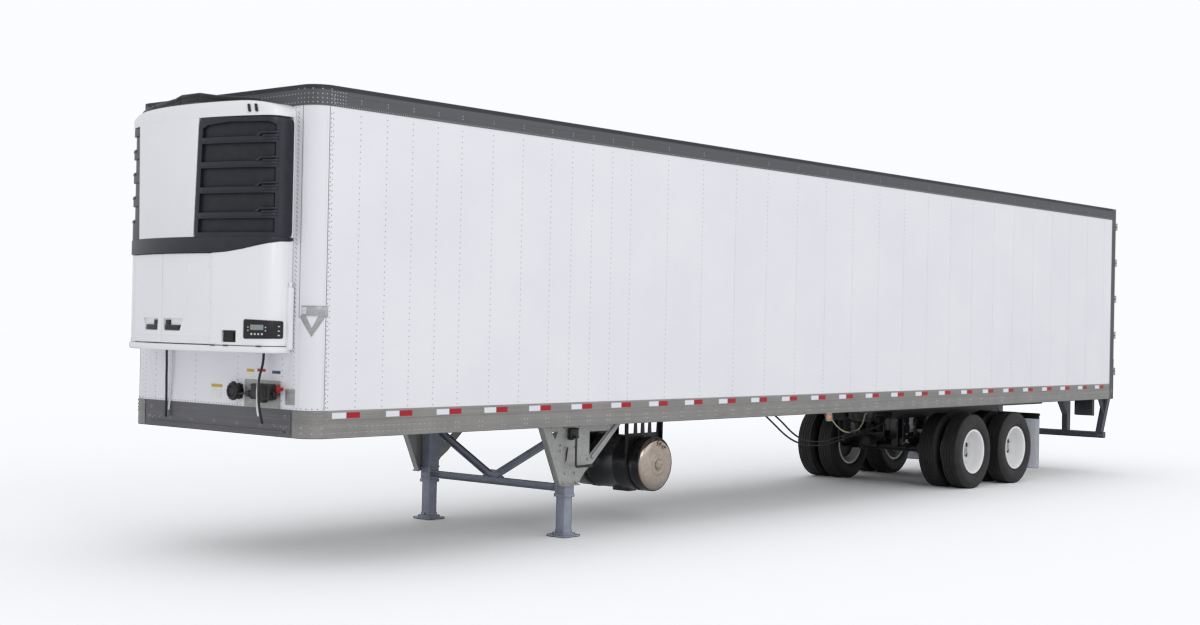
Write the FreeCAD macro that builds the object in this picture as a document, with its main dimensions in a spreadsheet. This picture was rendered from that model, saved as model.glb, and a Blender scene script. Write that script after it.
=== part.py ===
"""A refrigerated van semi-trailer, parked on its landing legs with no tractor.

Millimetres. +X is forward, +Y is the trailer's left, +Z is up, and the ground is Z = 0.
The origin is on the ground, in the middle of the trailer's length and width.
"""
import FreeCAD, Part
import math
import os
import Sketcher
from FreeCAD import Placement, Rotation, Vector

os.makedirs("parts", exist_ok=True)
doc = FreeCAD.newDocument("refrigerated_semi_trailer")

# ---------------------------------------------------------------------------------------------
# Driving sizes: alias, value, what it is
# ---------------------------------------------------------------------------------------------
SIZES = [
    ("body_length", 16154, "front wall to rear frame: 53 ft"),
    ("body_width", 2590.8, "over the side rails: 102 in"),
    ("body_top", 4115, "top of the top rails above the ground: 13 ft 6 in"),
    ("ride_clear", 125, "tops of the tyres to the underside of the bottom rails"),
    ("bottom_rail", 235, "height of the bottom rails"),
    ("top_rail", 175, "height of the top rails"),
    ("rail_thick", 12.4, "thickness of a rail's web"),
    ("skin_inset", 4, "how far the skins lie inside the rails"),
    ("corner_radius", 180, "outer radius of the two front corners"),
    ("side_wall", 56, "side wall, skin to liner"),
    ("front_wall", 96, "front wall, skin to liner"),
    ("floor_thick", 150, "insulated floor"),
    ("member_high", 102, "height of the crossmembers"),
    ("flange", 8, "thickness of bottom rail flanges and of the coupler plate"),
    ("roof_thick", 58, "insulated roof"),
    ("roof_skin", 9, "roof skin and bows above the insulation"),
    ("frame_deep", 130, "rear frame, front to back"),
    ("post_wide", 70.4, "rear frame post"),
    ("sill_high", 265, "rear frame sill"),
    ("header_high", 115, "rear frame header"),
    ("door_thick", 90, "rear door"),
    ("door_side_gap", 10, "rear door to post"),
    ("door_end_gap", 5, "rear door to sill and header"),
    ("door_centre_gap", 24, "between the two rear doors"),
    ("hinge_standoff", 65, "rear hinge axis behind the rear frame"),
    ("hinge_inboard", 12.4, "rear hinge axis inboard of the body's side"),
    ("hinge_radius", 12, "rear hinge knuckle"),
    ("rod_radius", 14, "lock rod"),
    ("rod_standoff", 28, "lock rod axis behind the door"),
    ("hinge_tall", 40, "rear hinge strap and middle knuckle"),
    ("rod_inner", 320, "inner lock rod from the middle"),
    ("rod_outer", 900, "outer lock rod from the middle"),
    ("member_pitch", 305, "crossmember spacing: 12 in"),
    ("coupler_length", 1550, "coupler plate, from the front wall"),
    ("kingpin_setback", 914, "kingpin behind the front wall: 36 in"),
    ("kingpin_drop", 84.2, "kingpin below the coupler plate"),
    ("kingpin_flange", 14, "thickness of the kingpin's lower collar"),
    ("kingpin_grip", 35.3, "length of the kingpin's neck"),
    ("kingpin_neck", 25.4, "kingpin neck radius"),
    ("kingpin_collar", 35.7, "kingpin lower collar radius"),
    ("kingpin_shank", 36.5, "kingpin upper shank radius"),
    ("leg_setback", 3560, "landing legs behind the front wall"),
    ("leg_spread", 980, "landing leg axis from the middle"),
    ("leg_outer", 140, "landing leg outer tube, square"),
    ("leg_inner", 115, "landing leg inner tube, square"),
    ("leg_joint", 400, "bottom of the outer tube above the ground"),
    ("brace_low", 455, "underside of the cross tube between the legs"),
    ("brace_high", 1055, "top of the braces at the legs"),
    ("brace_tube", 70, "height of the cross tube"),
    ("wing_low", 520, "bottom of the plates outside the legs"),
    ("wing_thick", 8, "plates outside the legs"),
    ("wing_ahead", 430, "the plates' front corner ahead of the legs"),
    ("wing_behind", 800, "the plates' rear corner behind the legs"),
    ("crank_shaft", 1085, "cross shaft above the ground"),
    ("pad_wide", 255, "landing foot pad, square"),
    ("pad_thick", 14, "landing foot pad"),
    ("tank_setback", 5150, "fuel tank axis behind the front wall"),
    ("tank_radius", 290, "fuel tank"),
    ("tank_axis", 640, "fuel tank axis above the ground"),
    ("tank_collar", 88, "collar at the shell's left end"),
    ("hanger_wide", 45, "each of the tank's two hangers"),
    ("tank_near", 870, "fuel tank shell's left end"),
    ("tank_far", 215, "fuel tank shell's right end, right of the middle"),
    ("axle_front", 11640, "front axle behind the front wall"),
    ("axle_spacing", 1245, "between the two axles: 49 in"),
    ("tyre_radius", 505, "tyre, and axle height"),
    ("tyre_wide", 280, "tyre section width"),
    ("tyre_mid", 983.5, "middle of a dual pair from the middle of the trailer"),
    ("dual_spacing", 343, "between the two tyres of a dual pair: 13.5 in"),
    ("rim_radius", 286, "rim bead seat"),
    ("rim_flange", 302, "rim flange"),
    ("disc_bolt_face", 90, "wheel bearings' outer end, outboard of a dual pair's middle"),
    ("drum_radius", 210, "brake drum"),
    ("spindle_radius", 45, "axle spindle"),
    ("axle_radius", 63.5, "axle tube: 5 in"),
    ("frame_spread", 470, "bogie frame rails from the middle"),
    ("frame_rail", 100, "bogie frame rails, width and height"),
    ("arm_ahead", 520, "trailing arm pivot ahead of its axle"),
    ("spring_behind", 390, "air spring behind its axle"),
    ("spring_radius", 115, "air spring"),
    ("reservoir_radius", 120, "air reservoirs"),
    ("reservoir_ahead", 1150, "air reservoirs ahead of the front axle"),
    ("flap_in", 640, "mudflap's inner edge from the middle"),
    ("flap_out", 1245, "mudflap's outer edge from the middle"),
    ("flap_low", 160, "mudflap's lower edge above the ground"),
    ("flap_drop", 13, "mudflap's upper edge below the bogie frame rails"),
    ("flap_setback", 13690, "mudflaps behind the front wall"),
    ("guard_ahead", 184, "front face of the rear guard's bar ahead of the rear end"),
    ("guard_short", 70.4, "each end of the rear guard's bar short of the body's side"),
    ("guard_bar", 86, "height of the rear guard's bar"),
    ("guard_axis", 562, "rear guard's bar above the ground"),
    ("unit_nose", 445, "refrigeration unit's depth in the middle"),
    ("unit_wide", 2060, "refrigeration unit's width"),
    ("unit_face", 2520, "radius of the unit's bowed face"),
    ("unit_corner", 140, "radius of the unit's vertical corners"),
    ("unit_low", 1845, "underside of the unit's tray"),
    ("tray_high", 60, "the unit's tray"),
    ("lower_high", 785, "the unit's lower doors"),
    ("band_high", 130, "dark band across the unit"),
    ("upper_high", 1020, "the unit's upper panels and grille"),
    ("hood_high", 140, "the unit's hood"),
    ("panel_thick", 30, "the unit's doors and panels"),
    ("panel_inset", 12, "how far the doors lie behind the band and hood"),
    ("panel_gap", 6, "between the unit's doors and panels"),
    ("door_a_edge", -855, "right service door's hinged edge from the middle"),
    ("door_seam", -232, "seam between the two service doors"),
    ("panel_seam", 440, "seam between the left service door and the control panel"),
    ("louvre_edge", -757, "louvre strip's inner edge"),
    ("grille_edge", 236, "grille's inner edge"),
    ("grille_bar", 52, "height of a grille bar"),
    ("pin_radius", 4.5, "service door hinge pin"),
    ("pin_proud", 9, "hinge pin's axis ahead of the door's face"),
    ("lamp_proud", 8, "how far the side lamps stand out"),
]
sheet = doc.addObject("Spreadsheet::Sheet", "size")
for row, (alias, value, note) in enumerate(SIZES, start=1):
    sheet.set(f"A{row}", alias)
    sheet.set(f"B{row}", str(value))
    sheet.set(f"C{row}", note)
    sheet.setAlias(f"B{row}", alias)
doc.recompute()

# ---------------------------------------------------------------------------------------------
# Places worked out from the driving sizes: name, expression
# ---------------------------------------------------------------------------------------------
PLACES = [
    ("front", "(size.body_length + size.hinge_standoff + size.hinge_radius - size.unit_nose) / 2"),
    ("rear", "at.front - size.body_length"),
    ("half", "size.body_width / 2"),
    ("rail_in", "at.half - size.rail_thick"),
    ("skin_x", "at.front - size.skin_inset"),
    ("skin_y", "at.half - size.skin_inset"),
    ("inner_x", "at.skin_x - size.front_wall"),
    ("inner_y", "at.skin_y - size.side_wall"),
    ("seam_x", "at.front - size.corner_radius"),
    ("seam_y", "at.half - size.corner_radius"),
    ("core_x", "at.front - size.rail_thick"),
    ("frame_x", "at.rear + size.frame_deep"),
    ("post_y", "at.half - size.post_wide"),
    ("rail_low", "2 * size.tyre_radius + size.ride_clear"),
    ("rail_top", "at.rail_low + size.bottom_rail"),
    ("cove", "size.body_top - size.top_rail"),
    ("member_low", "at.rail_low + size.flange"),
    ("floor_low", "at.member_low + size.member_high"),
    ("floor_top", "at.floor_low + size.floor_thick"),
    ("roof_top", "size.body_top - 12"),
    ("roof_low", "at.roof_top - size.roof_thick"),
    ("sill_top", "at.rail_low + size.sill_high"),
    ("header_low", "size.body_top - size.header_high"),
    ("hinge_x", "at.rear - size.hinge_standoff"),
    ("hinge_y", "at.half - size.hinge_inboard"),
    ("rod_x", "at.rear - size.rod_standoff"),
    ("leg_x", "at.front - size.leg_setback"),
    ("leg_out", "size.leg_spread + size.leg_outer / 2"),
    ("leg_in", "size.leg_spread - size.leg_outer / 2"),
    ("tank_x", "at.front - size.tank_setback"),
    ("axle_1", "at.front - size.axle_front"),
    ("axle_2", "at.axle_1 - size.axle_spacing"),
    ("slider_low", "at.member_low - size.frame_rail"),
    ("bogie_low", "at.slider_low - size.frame_rail"),
    ("bogie_in", "size.frame_spread - size.frame_rail / 2"),
    ("bogie_out", "size.frame_spread + size.frame_rail / 2"),
    ("arm_low", "size.tyre_radius + size.axle_radius + 2"),
    ("arm_high", "at.arm_low + 90"),
    ("flap_x", "at.front - size.flap_setback"),
    ("flap_top", "at.bogie_low - size.flap_drop"),
    ("guard_x", "at.rear + size.guard_ahead"),
    ("guard_half", "at.half - size.guard_short"),
    ("unit_half", "size.unit_wide / 2"),
    ("unit_x0", "at.front + size.unit_nose - size.unit_face"),
    ("bend_y", "at.unit_half - size.unit_corner"),
    ("bend_x", "at.unit_x0 + sqrt((size.unit_face - size.unit_corner)^2 - at.bend_y^2)"),
    ("bend_cos", "(at.bend_x - at.unit_x0) / (size.unit_face - size.unit_corner)"),
    ("bend_sin", "at.bend_y / (size.unit_face - size.unit_corner)"),
    ("door_z", "size.unit_low + size.tray_high"),
    ("band_z", "at.door_z + size.lower_high"),
    ("upper_z", "at.band_z + size.band_high"),
    ("hood_z", "at.upper_z + size.upper_high"),
    ("unit_top", "at.hood_z + size.hood_high"),
    ("door_face", "size.unit_face - size.panel_inset"),
    ("pin_a_y", "size.door_a_edge - size.panel_gap / 2"),
    ("pin_a_x", "at.unit_x0 + sqrt(at.door_face^2 - at.pin_a_y^2) + size.pin_proud"),
    ("pin_b_y", "size.panel_seam"),
    ("pin_b_x", "at.unit_x0 + sqrt(at.door_face^2 - at.pin_b_y^2) + size.pin_proud"),
]
at = doc.addObject("App::VarSet", "at")
for name, expression in PLACES:
    at.addProperty("App::PropertyFloat", name)
    at.setExpression(name, expression)
doc.recompute()


def size(alias):
    """A driving size's value, in millimetres."""
    return float(sheet.get(alias))


# A spare cell that works an expression out, for a sketch's first guess of a corner
probe = doc.addObject("App::VarSet", "probe")
probe.addProperty("App::PropertyFloat", "worth")


def worth(expression):
    """The number that an expression stands for now."""
    probe.setExpression("worth", expression)
    probe.recompute()
    return probe.worth


# ---------------------------------------------------------------------------------------------
# Ways to make a piece
# ---------------------------------------------------------------------------------------------
nodes = {}
count = 0
ZERO = "0 * 1"


def title(stem):
    """A fresh inner name for a step of a piece."""
    global count
    count += 1
    return f"{stem}_{count}"


def node(label, piece):
    """Name a finished piece: its label is the name of its file."""
    piece.Label = label
    nodes[label] = piece
    return piece


def block(x, y, z):
    """A box between a low and a high expression along each axis."""
    piece = doc.addObject("Part::Box", title("block"))
    for prop, axis, (low, high) in zip(("Length", "Width", "Height"), "xyz", (x, y, z)):
        piece.setExpression(prop, f"({high}) - ({low})")
        piece.setExpression(f"Placement.Base.{axis}", low)
    return piece


def mirrored_y(side, low, high):
    """A span measured outwards from the middle, on the left (1) or the right (-1)."""
    return (low, high) if side > 0 else (f"-({high})", f"-({low})")


AXES = {"x": Rotation(Vector(0, 1, 0), 90), "y": Rotation(Vector(1, 0, 0), -90), "z": Rotation()}


def rod(axis, base, length, radius):
    """A cylinder along an axis, from a base point of three expressions."""
    piece = doc.addObject("Part::Cylinder", title("rod"))
    piece.Placement = Placement(Vector(), AXES[axis])
    for letter, expression in zip("xyz", base):
        piece.setExpression(f"Placement.Base.{letter}", expression)
    piece.setExpression("Height", length)
    piece.setExpression("Radius", radius)
    return piece


def quarter(side, radius, low, high):
    """A quarter of a disc that fills a front corner of the body."""
    piece = rod("z", ("at.seam_x", f"{side} * at.seam_y", low), f"({high}) - ({low})", radius)
    piece.Angle = 90
    if side < 0:
        piece.Placement = Placement(piece.Placement.Base, Rotation(Vector(0, 0, 1), -90))
    return piece


def joined(*pieces):
    """Pieces welded into one."""
    if len(pieces) == 1:
        return pieces[0]
    piece = doc.addObject("Part::MultiFuse", title("joined"))
    piece.Shapes = list(pieces)
    piece.Refine = True
    return piece


def cut(base, *tools):
    """A piece with others taken out of it."""
    piece = doc.addObject("Part::Cut", title("cut"))
    piece.Base = base
    piece.Tool = joined(*tools)
    piece.Refine = True
    return piece


def origin_plane(body, role):
    """One of a body's own planes or axes, by its role."""
    return [item for item in body.Origin.OriginFeatures if item.Role == role][0]


def outline(body, plane, corners, offset=ZERO):
    """A closed outline on one of a body's own planes.

    Each corner is a pair of expressions, with a third one where the edge to the next corner is
    an arc: its radius, positive where the arc bulges to the left of the way along.
    """
    sketch = body.newObject("Sketcher::SketchObject", title("outline"))
    sketch.AttachmentSupport = [(origin_plane(body, plane), "")]
    sketch.MapMode = "FlatFace"
    sketch.setExpression("AttachmentOffset.Base.z", offset)
    points = [Vector(worth(corner[0]), worth(corner[1]), 0) for corner in corners]
    ends = []
    for index, corner in enumerate(corners):
        start, stop = points[index], points[(index + 1) % len(points)]
        if len(corner) == 2:
            sketch.addGeometry(Part.LineSegment(start, stop))
            ends.append((1, 2))
            continue
        radius = worth(corner[2])
        chord = stop - start
        left = Vector(-chord.y, chord.x, 0).normalize()
        rise = abs(radius) - math.sqrt(radius ** 2 - (chord.Length / 2) ** 2)
        top = (start + stop) / 2 + left * math.copysign(rise, radius)
        sketch.addGeometry(Part.Arc(start, top, stop))
        ends.append((2, 1) if radius > 0 else (1, 2))
    for index, corner in enumerate(corners):
        after = (index + 1) % len(corners)
        joint = (index, ends[index][1], after, ends[after][0])
        sketch.addConstraint(Sketcher.Constraint("Coincident", *joint))
        for kind, value, expression in zip(("DistanceX", "DistanceY"), points[index], corner):
            span = Sketcher.Constraint(kind, -1, 1, index, ends[index][0], value)
            number = sketch.addConstraint(span)
            sketch.setExpression(f"Constraints[{number}]", expression)
        if len(corner) == 3:
            bend = Sketcher.Constraint("Radius", index, abs(worth(corner[2])))
            number = sketch.addConstraint(bend)
            sketch.setExpression(f"Constraints[{number}]", f"abs({corner[2]})")
    return sketch


def prism(plane, corners, length, offset=ZERO, mirror=None):
    """An outline pushed out square from its plane, and mirrored in another if named."""
    body = doc.addObject("PartDesign::Body", title("prism"))
    body.AllowCompound = True
    pad = body.newObject("PartDesign::Pad", title("pad"))
    pad.Profile = outline(body, plane, corners, offset)
    pad.setExpression("Length", length)
    body.Tip = pad
    if mirror:
        copy = body.newObject("PartDesign::Mirrored", title("mirrored"))
        copy.Originals = [pad]
        copy.MirrorPlane = (origin_plane(body, mirror), [""])
        body.Tip = copy
    return body


def turned(corners, place, flip=False):
    """A half section turned round the piece's own Y axis: corners are (radius, along Y)."""
    body = doc.addObject("PartDesign::Body", title("turned"))
    body.AllowCompound = True
    turn = body.newObject("PartDesign::Revolution", title("turn"))
    sketch = outline(body, "XY_Plane", corners)
    turn.Profile = sketch
    turn.ReferenceAxis = (sketch, ["V_Axis"])
    turn.Angle = 360
    body.Tip = turn
    if flip:
        body.Placement = Placement(Vector(), Rotation(Vector(0, 0, 1), 180))
    for letter, expression in zip("xyz", place):
        body.setExpression(f"Placement.Base.{letter}", expression)
    return body


def repeated(body, step, spacing, times):
    """A body's last step repeated along X, backwards."""
    row = body.newObject("PartDesign::LinearPattern", title("row"))
    row.Originals = [step]
    row.Direction = (origin_plane(body, "X_Axis"), [""])
    row.Reversed = True
    row.Mode = "Spacing"
    row.setExpression("Offset", spacing)
    row.setExpression("Occurrences", times)
    body.Tip = row


SIDES = (("left", 1), ("right", -1))
FULL = ("-at.seam_y", "at.seam_y")
LONG = ("at.frame_x", "at.seam_x")

# ---------------------------------------------------------------------------------------------
# Body: floor, walls, roof and rails
# ---------------------------------------------------------------------------------------------
node("floor", block(("at.frame_x", "at.inner_x"), ("-at.inner_y", "at.inner_y"),
                    ("at.floor_low", "at.floor_top")))

walls = []
for name, side in SIDES:
    walls.append(block(LONG, mirrored_y(side, "at.inner_y", "at.skin_y"), ("at.rail_top", "at.cove")))
    walls.append(block(LONG, mirrored_y(side, "at.inner_y", "at.rail_in"), ("at.floor_low", "at.roof_low")))
node("side_walls", joined(*walls))

skin = block(("at.inner_x", "at.skin_x"), FULL, ("at.rail_top", "at.cove"))
core = block(("at.inner_x", "at.core_x"), FULL, ("at.floor_low", "at.roof_low"))
node("front_wall", joined(skin, core))

posts = []
for name, side in SIDES:
    skin = quarter(side, "size.corner_radius - size.skin_inset", "at.rail_top", "at.cove")
    core = quarter(side, "size.corner_radius - size.rail_thick", "at.floor_low", "at.roof_low")
    hollow = block(("at.seam_x", "at.inner_x"), mirrored_y(side, "at.seam_y", "at.inner_y"),
                   ("at.floor_low", "at.roof_low"))
    posts.append(cut(joined(skin, core), hollow))
node("front_corner_posts", joined(*posts))

roof = [
    block(("at.frame_x", "at.seam_x"), ("-at.rail_in", "at.rail_in"), ("at.roof_low", "at.roof_top")),
    block(("at.seam_x", "at.core_x"), FULL, ("at.roof_low", "at.roof_top")),
    block(("at.frame_x", "at.front - 40"), ("40 - at.half", "at.half - 40"),
          ("at.roof_top", "at.roof_top + size.roof_skin")),
]
for name, side in SIDES:
    roof.append(quarter(side, "size.corner_radius - size.rail_thick", "at.roof_low", "at.roof_top"))
crown = joined(*roof)
# The skin's front corners give way to the rail that bends round them
corner_room = []
for name, side in SIDES:
    square = block(("at.seam_x", "at.front"), mirrored_y(side, "at.seam_y", "at.half"),
                   ("at.roof_top", "size.body_top"))
    bend = quarter(side, "size.corner_radius - 40", "at.roof_top", "size.body_top")
    corner_room.append(cut(square, bend))
node("roof", cut(crown, *corner_room))

rails = []
for name, side in SIDES:
    rails.append(block(LONG, mirrored_y(side, "at.rail_in", "at.half"), ("at.cove", "size.body_top")))
    rails.append(block(LONG, mirrored_y(side, "at.half - 40", "at.half"), ("at.roof_top", "size.body_top")))
node("side_top_rails", joined(*rails))

rail = [
    block(("at.core_x", "at.front"), FULL, ("at.cove", "size.body_top")),
    block(("at.front - 40", "at.front"), FULL, ("at.roof_top", "size.body_top")),
]
for name, side in SIDES:
    rail.append(cut(quarter(side, "size.corner_radius", "at.cove", "size.body_top"),
                    quarter(side, "size.corner_radius - size.rail_thick", "at.cove", "at.roof_top"),
                    quarter(side, "size.corner_radius - 40", "at.roof_top", "size.body_top")))
node("front_top_rail", joined(*rail))

GROOVE_LOW, GROOVE_HIGH = "at.rail_top - 86", "at.rail_top - 80"
rails = []
for name, side in SIDES:
    rails += [
        block(LONG, mirrored_y(side, "at.rail_in", "at.half"), ("at.rail_low", GROOVE_LOW)),
        block(LONG, mirrored_y(side, "at.rail_in", "at.half - 5"), (GROOVE_LOW, GROOVE_HIGH)),
        block(LONG, mirrored_y(side, "at.rail_in", "at.half - 1.5"), (GROOVE_HIGH, "at.rail_top")),
        block(LONG, mirrored_y(side, "at.rail_in - 58", "at.rail_in"), ("at.rail_low", "at.member_low")),
    ]
node("side_bottom_rails", joined(*rails))

# The front rail's ribbed corner castings start this far from the middle
CAST_Y = "at.seam_y - 75"
CAST = (f"-({CAST_Y})", CAST_Y)
front_rail = [
    block(("at.core_x", "at.front"), CAST, ("at.rail_low", "at.rail_top")),
    block(("at.front", "at.front + 14"), ("150 - at.seam_y", "at.seam_y - 150"),
          ("at.rail_low + 37", "at.rail_low + 49")),
    block(("at.front - 70", "at.core_x"), CAST, ("at.rail_low", "at.member_low"))]
for name, side in SIDES:
    ring = cut(quarter(side, "size.corner_radius - 3", "at.rail_low", "at.rail_top"),
               quarter(side, "size.corner_radius - size.rail_thick", "at.rail_low", "at.rail_top"))
    stub = block(("at.core_x", "at.front - 3"), mirrored_y(side, CAST_Y, "at.seam_y"),
                 ("at.rail_low", "at.rail_top"))
    pieces = [ring, stub]
    for low, high in (("at.rail_low", "at.rail_low + 22"), (GROOVE_LOW, GROOVE_HIGH),
                      ("at.rail_top - 40", "at.rail_top - 28")):
        pieces.append(cut(quarter(side, "size.corner_radius", low, high),
                          quarter(side, "size.corner_radius - 5", low, high)))
        pieces.append(block(("at.front - 5", "at.front"), mirrored_y(side, CAST_Y, "at.seam_y"),
                            (low, high)))
    front_rail += pieces
node("front_bottom_rail", joined(*front_rail))

# ---------------------------------------------------------------------------------------------
# Rear frame and doors
# ---------------------------------------------------------------------------------------------
frame = [
    block(("at.rear", "at.frame_x"), ("-at.post_y", "at.post_y"), ("at.header_low", "size.body_top")),
    block(("at.rear", "at.frame_x"), ("-at.post_y", "at.post_y"), ("at.rail_low", "at.sill_top")),
]
for name, side in SIDES:
    frame.append(block(("at.rear", "at.frame_x"), mirrored_y(side, "at.post_y", "at.half"),
                       ("at.rail_low", "size.body_top")))
    frame.append(block(("at.rear + size.door_thick + 6", "at.frame_x"),
                       mirrored_y(side, "at.post_y - 30", "at.post_y"), ("at.sill_top", "at.header_low")))
node("rear_frame", joined(*frame))

DOOR_LOW, DOOR_HIGH = "at.sill_top + size.door_end_gap", "at.header_low - size.door_end_gap"
DOOR_EDGE = "at.post_y - size.door_side_gap"


def door_rise(share):
    """A height on the rear doors, as a share of the way up them."""
    return f"{DOOR_LOW} + {share} * ({DOOR_HIGH} - ({DOOR_LOW}))"


HINGE_RISE = [door_rise(share) for share in (0.06, 0.28, 0.5, 0.72, 0.94)]
ROD_Y = ("size.rod_inner", "size.rod_outer")
# Each lock rod turns in four guides, and a cam at either end hooks behind a keeper on the frame
GUIDES = [door_rise(share) for share in (0.02, 0.3, 0.68, 0.98)]
CAMS = ((f"{DOOR_LOW} - 30", f"{DOOR_LOW} - 8"), (f"{DOOR_HIGH} + 8", f"{DOOR_HIGH} + 30"))
KEEPERS = ((f"{DOOR_LOW} - 62", f"{DOOR_LOW} - 36"), (f"{DOOR_HIGH} + 36", f"{DOOR_HIGH} + 62"))
GRIP = f"{DOOR_LOW} + 430"
for name, side in SIDES:
    panel = mirrored_y(side, "size.door_centre_gap / 2", DOOR_EDGE)
    node(f"{name}_rear_door", block(("at.rear", "at.rear + size.door_thick"), panel, (DOOR_LOW, DOOR_HIGH)))
    hardware = []
    for rise in HINGE_RISE:
        tall = (f"{rise} - size.hinge_tall / 2", f"{rise} + size.hinge_tall / 2")
        hardware.append(joined(
            block(("at.rear - 12", "at.rear"), mirrored_y(side, f"{DOOR_EDGE} - 140", DOOR_EDGE), tall),
            block(("at.rear - 45", "at.rear - 5"), mirrored_y(side, f"{DOOR_EDGE} - 20", "at.hinge_y - 40"),
                  tall),
            block(("at.hinge_x - 9", "at.hinge_x + 30"), mirrored_y(side, "at.hinge_y - 58", "at.hinge_y"),
                  tall),
            rod("z", ("at.hinge_x", f"{side} * at.hinge_y", tall[0]), "size.hinge_tall",
                "size.hinge_radius")))
    for rod_y in ROD_Y:
        middle = f"{side} * {rod_y}"
        pieces = [rod("z", ("at.rod_x", middle, CAMS[0][0]), f"({CAMS[1][1]}) - ({CAMS[0][0]})",
                      "size.rod_radius")]
        for rise in GUIDES:
            pieces.append(block(("at.rear - 42", "at.rear"), (f"{middle} - 32", f"{middle} + 32"),
                                (f"{rise} - 18", f"{rise} + 18")))
        for low, high in CAMS:
            pieces.append(block(("at.rear - 44", "at.rear - 8"), (f"{middle} - 22", f"{middle} + 22"),
                                (low, high)))
        handle = mirrored_y(side, f"{rod_y} - 14", f"{rod_y} + 260")
        pieces.append(block(("at.rear - 44", "at.rear - 34"), handle, (f"{GRIP} - 15", f"{GRIP} + 15")))
        latch = mirrored_y(side, f"{rod_y} + 180", f"{rod_y} + 215")
        pieces.append(block(("at.rear - 44", "at.rear"), latch, (f"{GRIP} - 28", f"{GRIP} + 28")))
        hardware.append(joined(*pieces))
    node(f"{name}_door_hardware", joined(*hardware))

fixings = []
for name, side in SIDES:
    for rise in HINGE_RISE:
        for low, high in ((f"{rise} - 55", f"{rise} - 25"), (f"{rise} + 25", f"{rise} + 55")):
            lug = mirrored_y(side, "at.hinge_y - 12", "at.hinge_y + 12")
            fixings.append(joined(
                block(("at.hinge_x", "at.rear"), lug, (low, high)),
                rod("z", ("at.hinge_x", f"{side} * at.hinge_y", low), "30", "size.hinge_radius")))
    for rod_y in ROD_Y:
        for low, high in KEEPERS:
            keeper = mirrored_y(side, f"{rod_y} - 35", f"{rod_y} + 35")
            fixings.append(block(("at.rear - 40", "at.rear"), keeper, (low, high)))
node("rear_frame_hardware", joined(*fixings))

node("dock_bumpers", joined(*[
    block(("at.rear - 65", "at.rear"), mirrored_y(side, "at.half - 395", "at.half - 95"),
          ("at.rail_low + 12", "at.rail_low + 162")) for name, side in SIDES]))

# ---------------------------------------------------------------------------------------------
# Underframe
# ---------------------------------------------------------------------------------------------
member = doc.addObject("PartDesign::Body", "crossmember_row")
member.AllowCompound = True
FIRST = "(at.front - size.coupler_length - 60)"
I_HALF = [("28", "at.member_low"), ("28", "at.member_low + 6"), ("3", "at.member_low + 6"),
          ("3", "at.floor_low - 6"), ("28", "at.floor_low - 6"), ("28", "at.floor_low")]
I_BEAM = I_HALF + [(f"-{x}", z) for x, z in reversed(I_HALF)]
beam = member.newObject("PartDesign::Pad", "crossmember")
beam.Profile = outline(member, "XZ_Plane", [(f"{FIRST} + ({x})", z) for x, z in I_BEAM], "-at.rail_in")
beam.setExpression("Length", "2 * at.rail_in")
member.Tip = beam
repeated(member, beam, "size.member_pitch",
         f"floor(({FIRST} - at.frame_x - 60) / size.member_pitch) + 1")
node("crossmembers", member)

KING_X = "at.front - size.kingpin_setback"
KING_LOW = "at.rail_low - size.kingpin_drop"
plate = block(("at.front - size.coupler_length", "at.front - 70"), ("58 - at.rail_in", "at.rail_in - 58"),
              ("at.rail_low", "at.member_low"))
ribs = [block((f"at.front - {back} - 80", f"at.front - {back}"), ("40 - at.rail_in", "at.rail_in - 40"),
              ("at.member_low", "at.floor_low")) for back in (90, 480, 1120, 1420)]
ribs += [block(("at.front - size.coupler_length + 50", "at.front - 90"), mirrored_y(side, "250", "330"),
               ("at.member_low", "at.floor_low")) for name, side in SIDES]
node("coupler_plate", cut(joined(plate, *ribs), rod("z", (KING_X, ZERO, "at.rail_low"), "size.flange",
                                                   "size.kingpin_shank + 0.3")))
NECK_LOW = f"{KING_LOW} + size.kingpin_flange"
SHANK_LOW = f"{NECK_LOW} + size.kingpin_grip"
node("kingpin", joined(
    rod("z", (KING_X, ZERO, KING_LOW), "size.kingpin_flange", "size.kingpin_collar"),
    rod("z", (KING_X, ZERO, NECK_LOW), "size.kingpin_grip", "size.kingpin_neck"),
    rod("z", (KING_X, ZERO, SHANK_LOW), f"at.member_low - ({SHANK_LOW})", "size.kingpin_shank"),
    rod("z", (KING_X, ZERO, "at.member_low"), "20", "110")))

# ---------------------------------------------------------------------------------------------
# Landing gear
# ---------------------------------------------------------------------------------------------
LEG_X = ("at.leg_x - size.leg_outer / 2", "at.leg_x + size.leg_outer / 2")
node("landing_legs", joined(*[
    block(LEG_X, mirrored_y(side, "at.leg_in", "at.leg_out"), ("size.leg_joint", "at.rail_low"))
    for name, side in SIDES]))



def footing(side, half, low, high):
    """A square block centred under a leg."""
    return block((f"at.leg_x - {half}", f"at.leg_x + {half}"),
                 mirrored_y(side, f"size.leg_spread - {half}", f"size.leg_spread + {half}"), (low, high))


node("landing_feet", joined(*[
    joined(footing(side, "size.leg_inner / 2", "size.pad_thick", "size.leg_joint"),
           footing(side, "85", "size.pad_thick", "size.pad_thick + 26"),
           footing(side, "size.pad_wide / 2", ZERO, "size.pad_thick"))
    for name, side in SIDES]))

# A plate outside each leg: its corners are (ahead of the leg's axis, above the ground)
WING = [("size.wing_ahead", "at.rail_low"), ("150", "size.wing_low"), ("-110", "size.wing_low"),
        ("-230", "650"), ("-325", "712"), ("-size.wing_behind", "at.rail_low")]
WINDOW = [("-285", "1050"), ("-575", "1050"), ("-285", "812")]
SLOT = [("290", "1065"), ("200", "1065"), ("235", "985")]
# The front edge of each plate is folded inboard
FOLD = [WING[0], WING[1], ("141", "size.wing_low"), ("size.wing_ahead - 9", "at.rail_low")]


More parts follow.
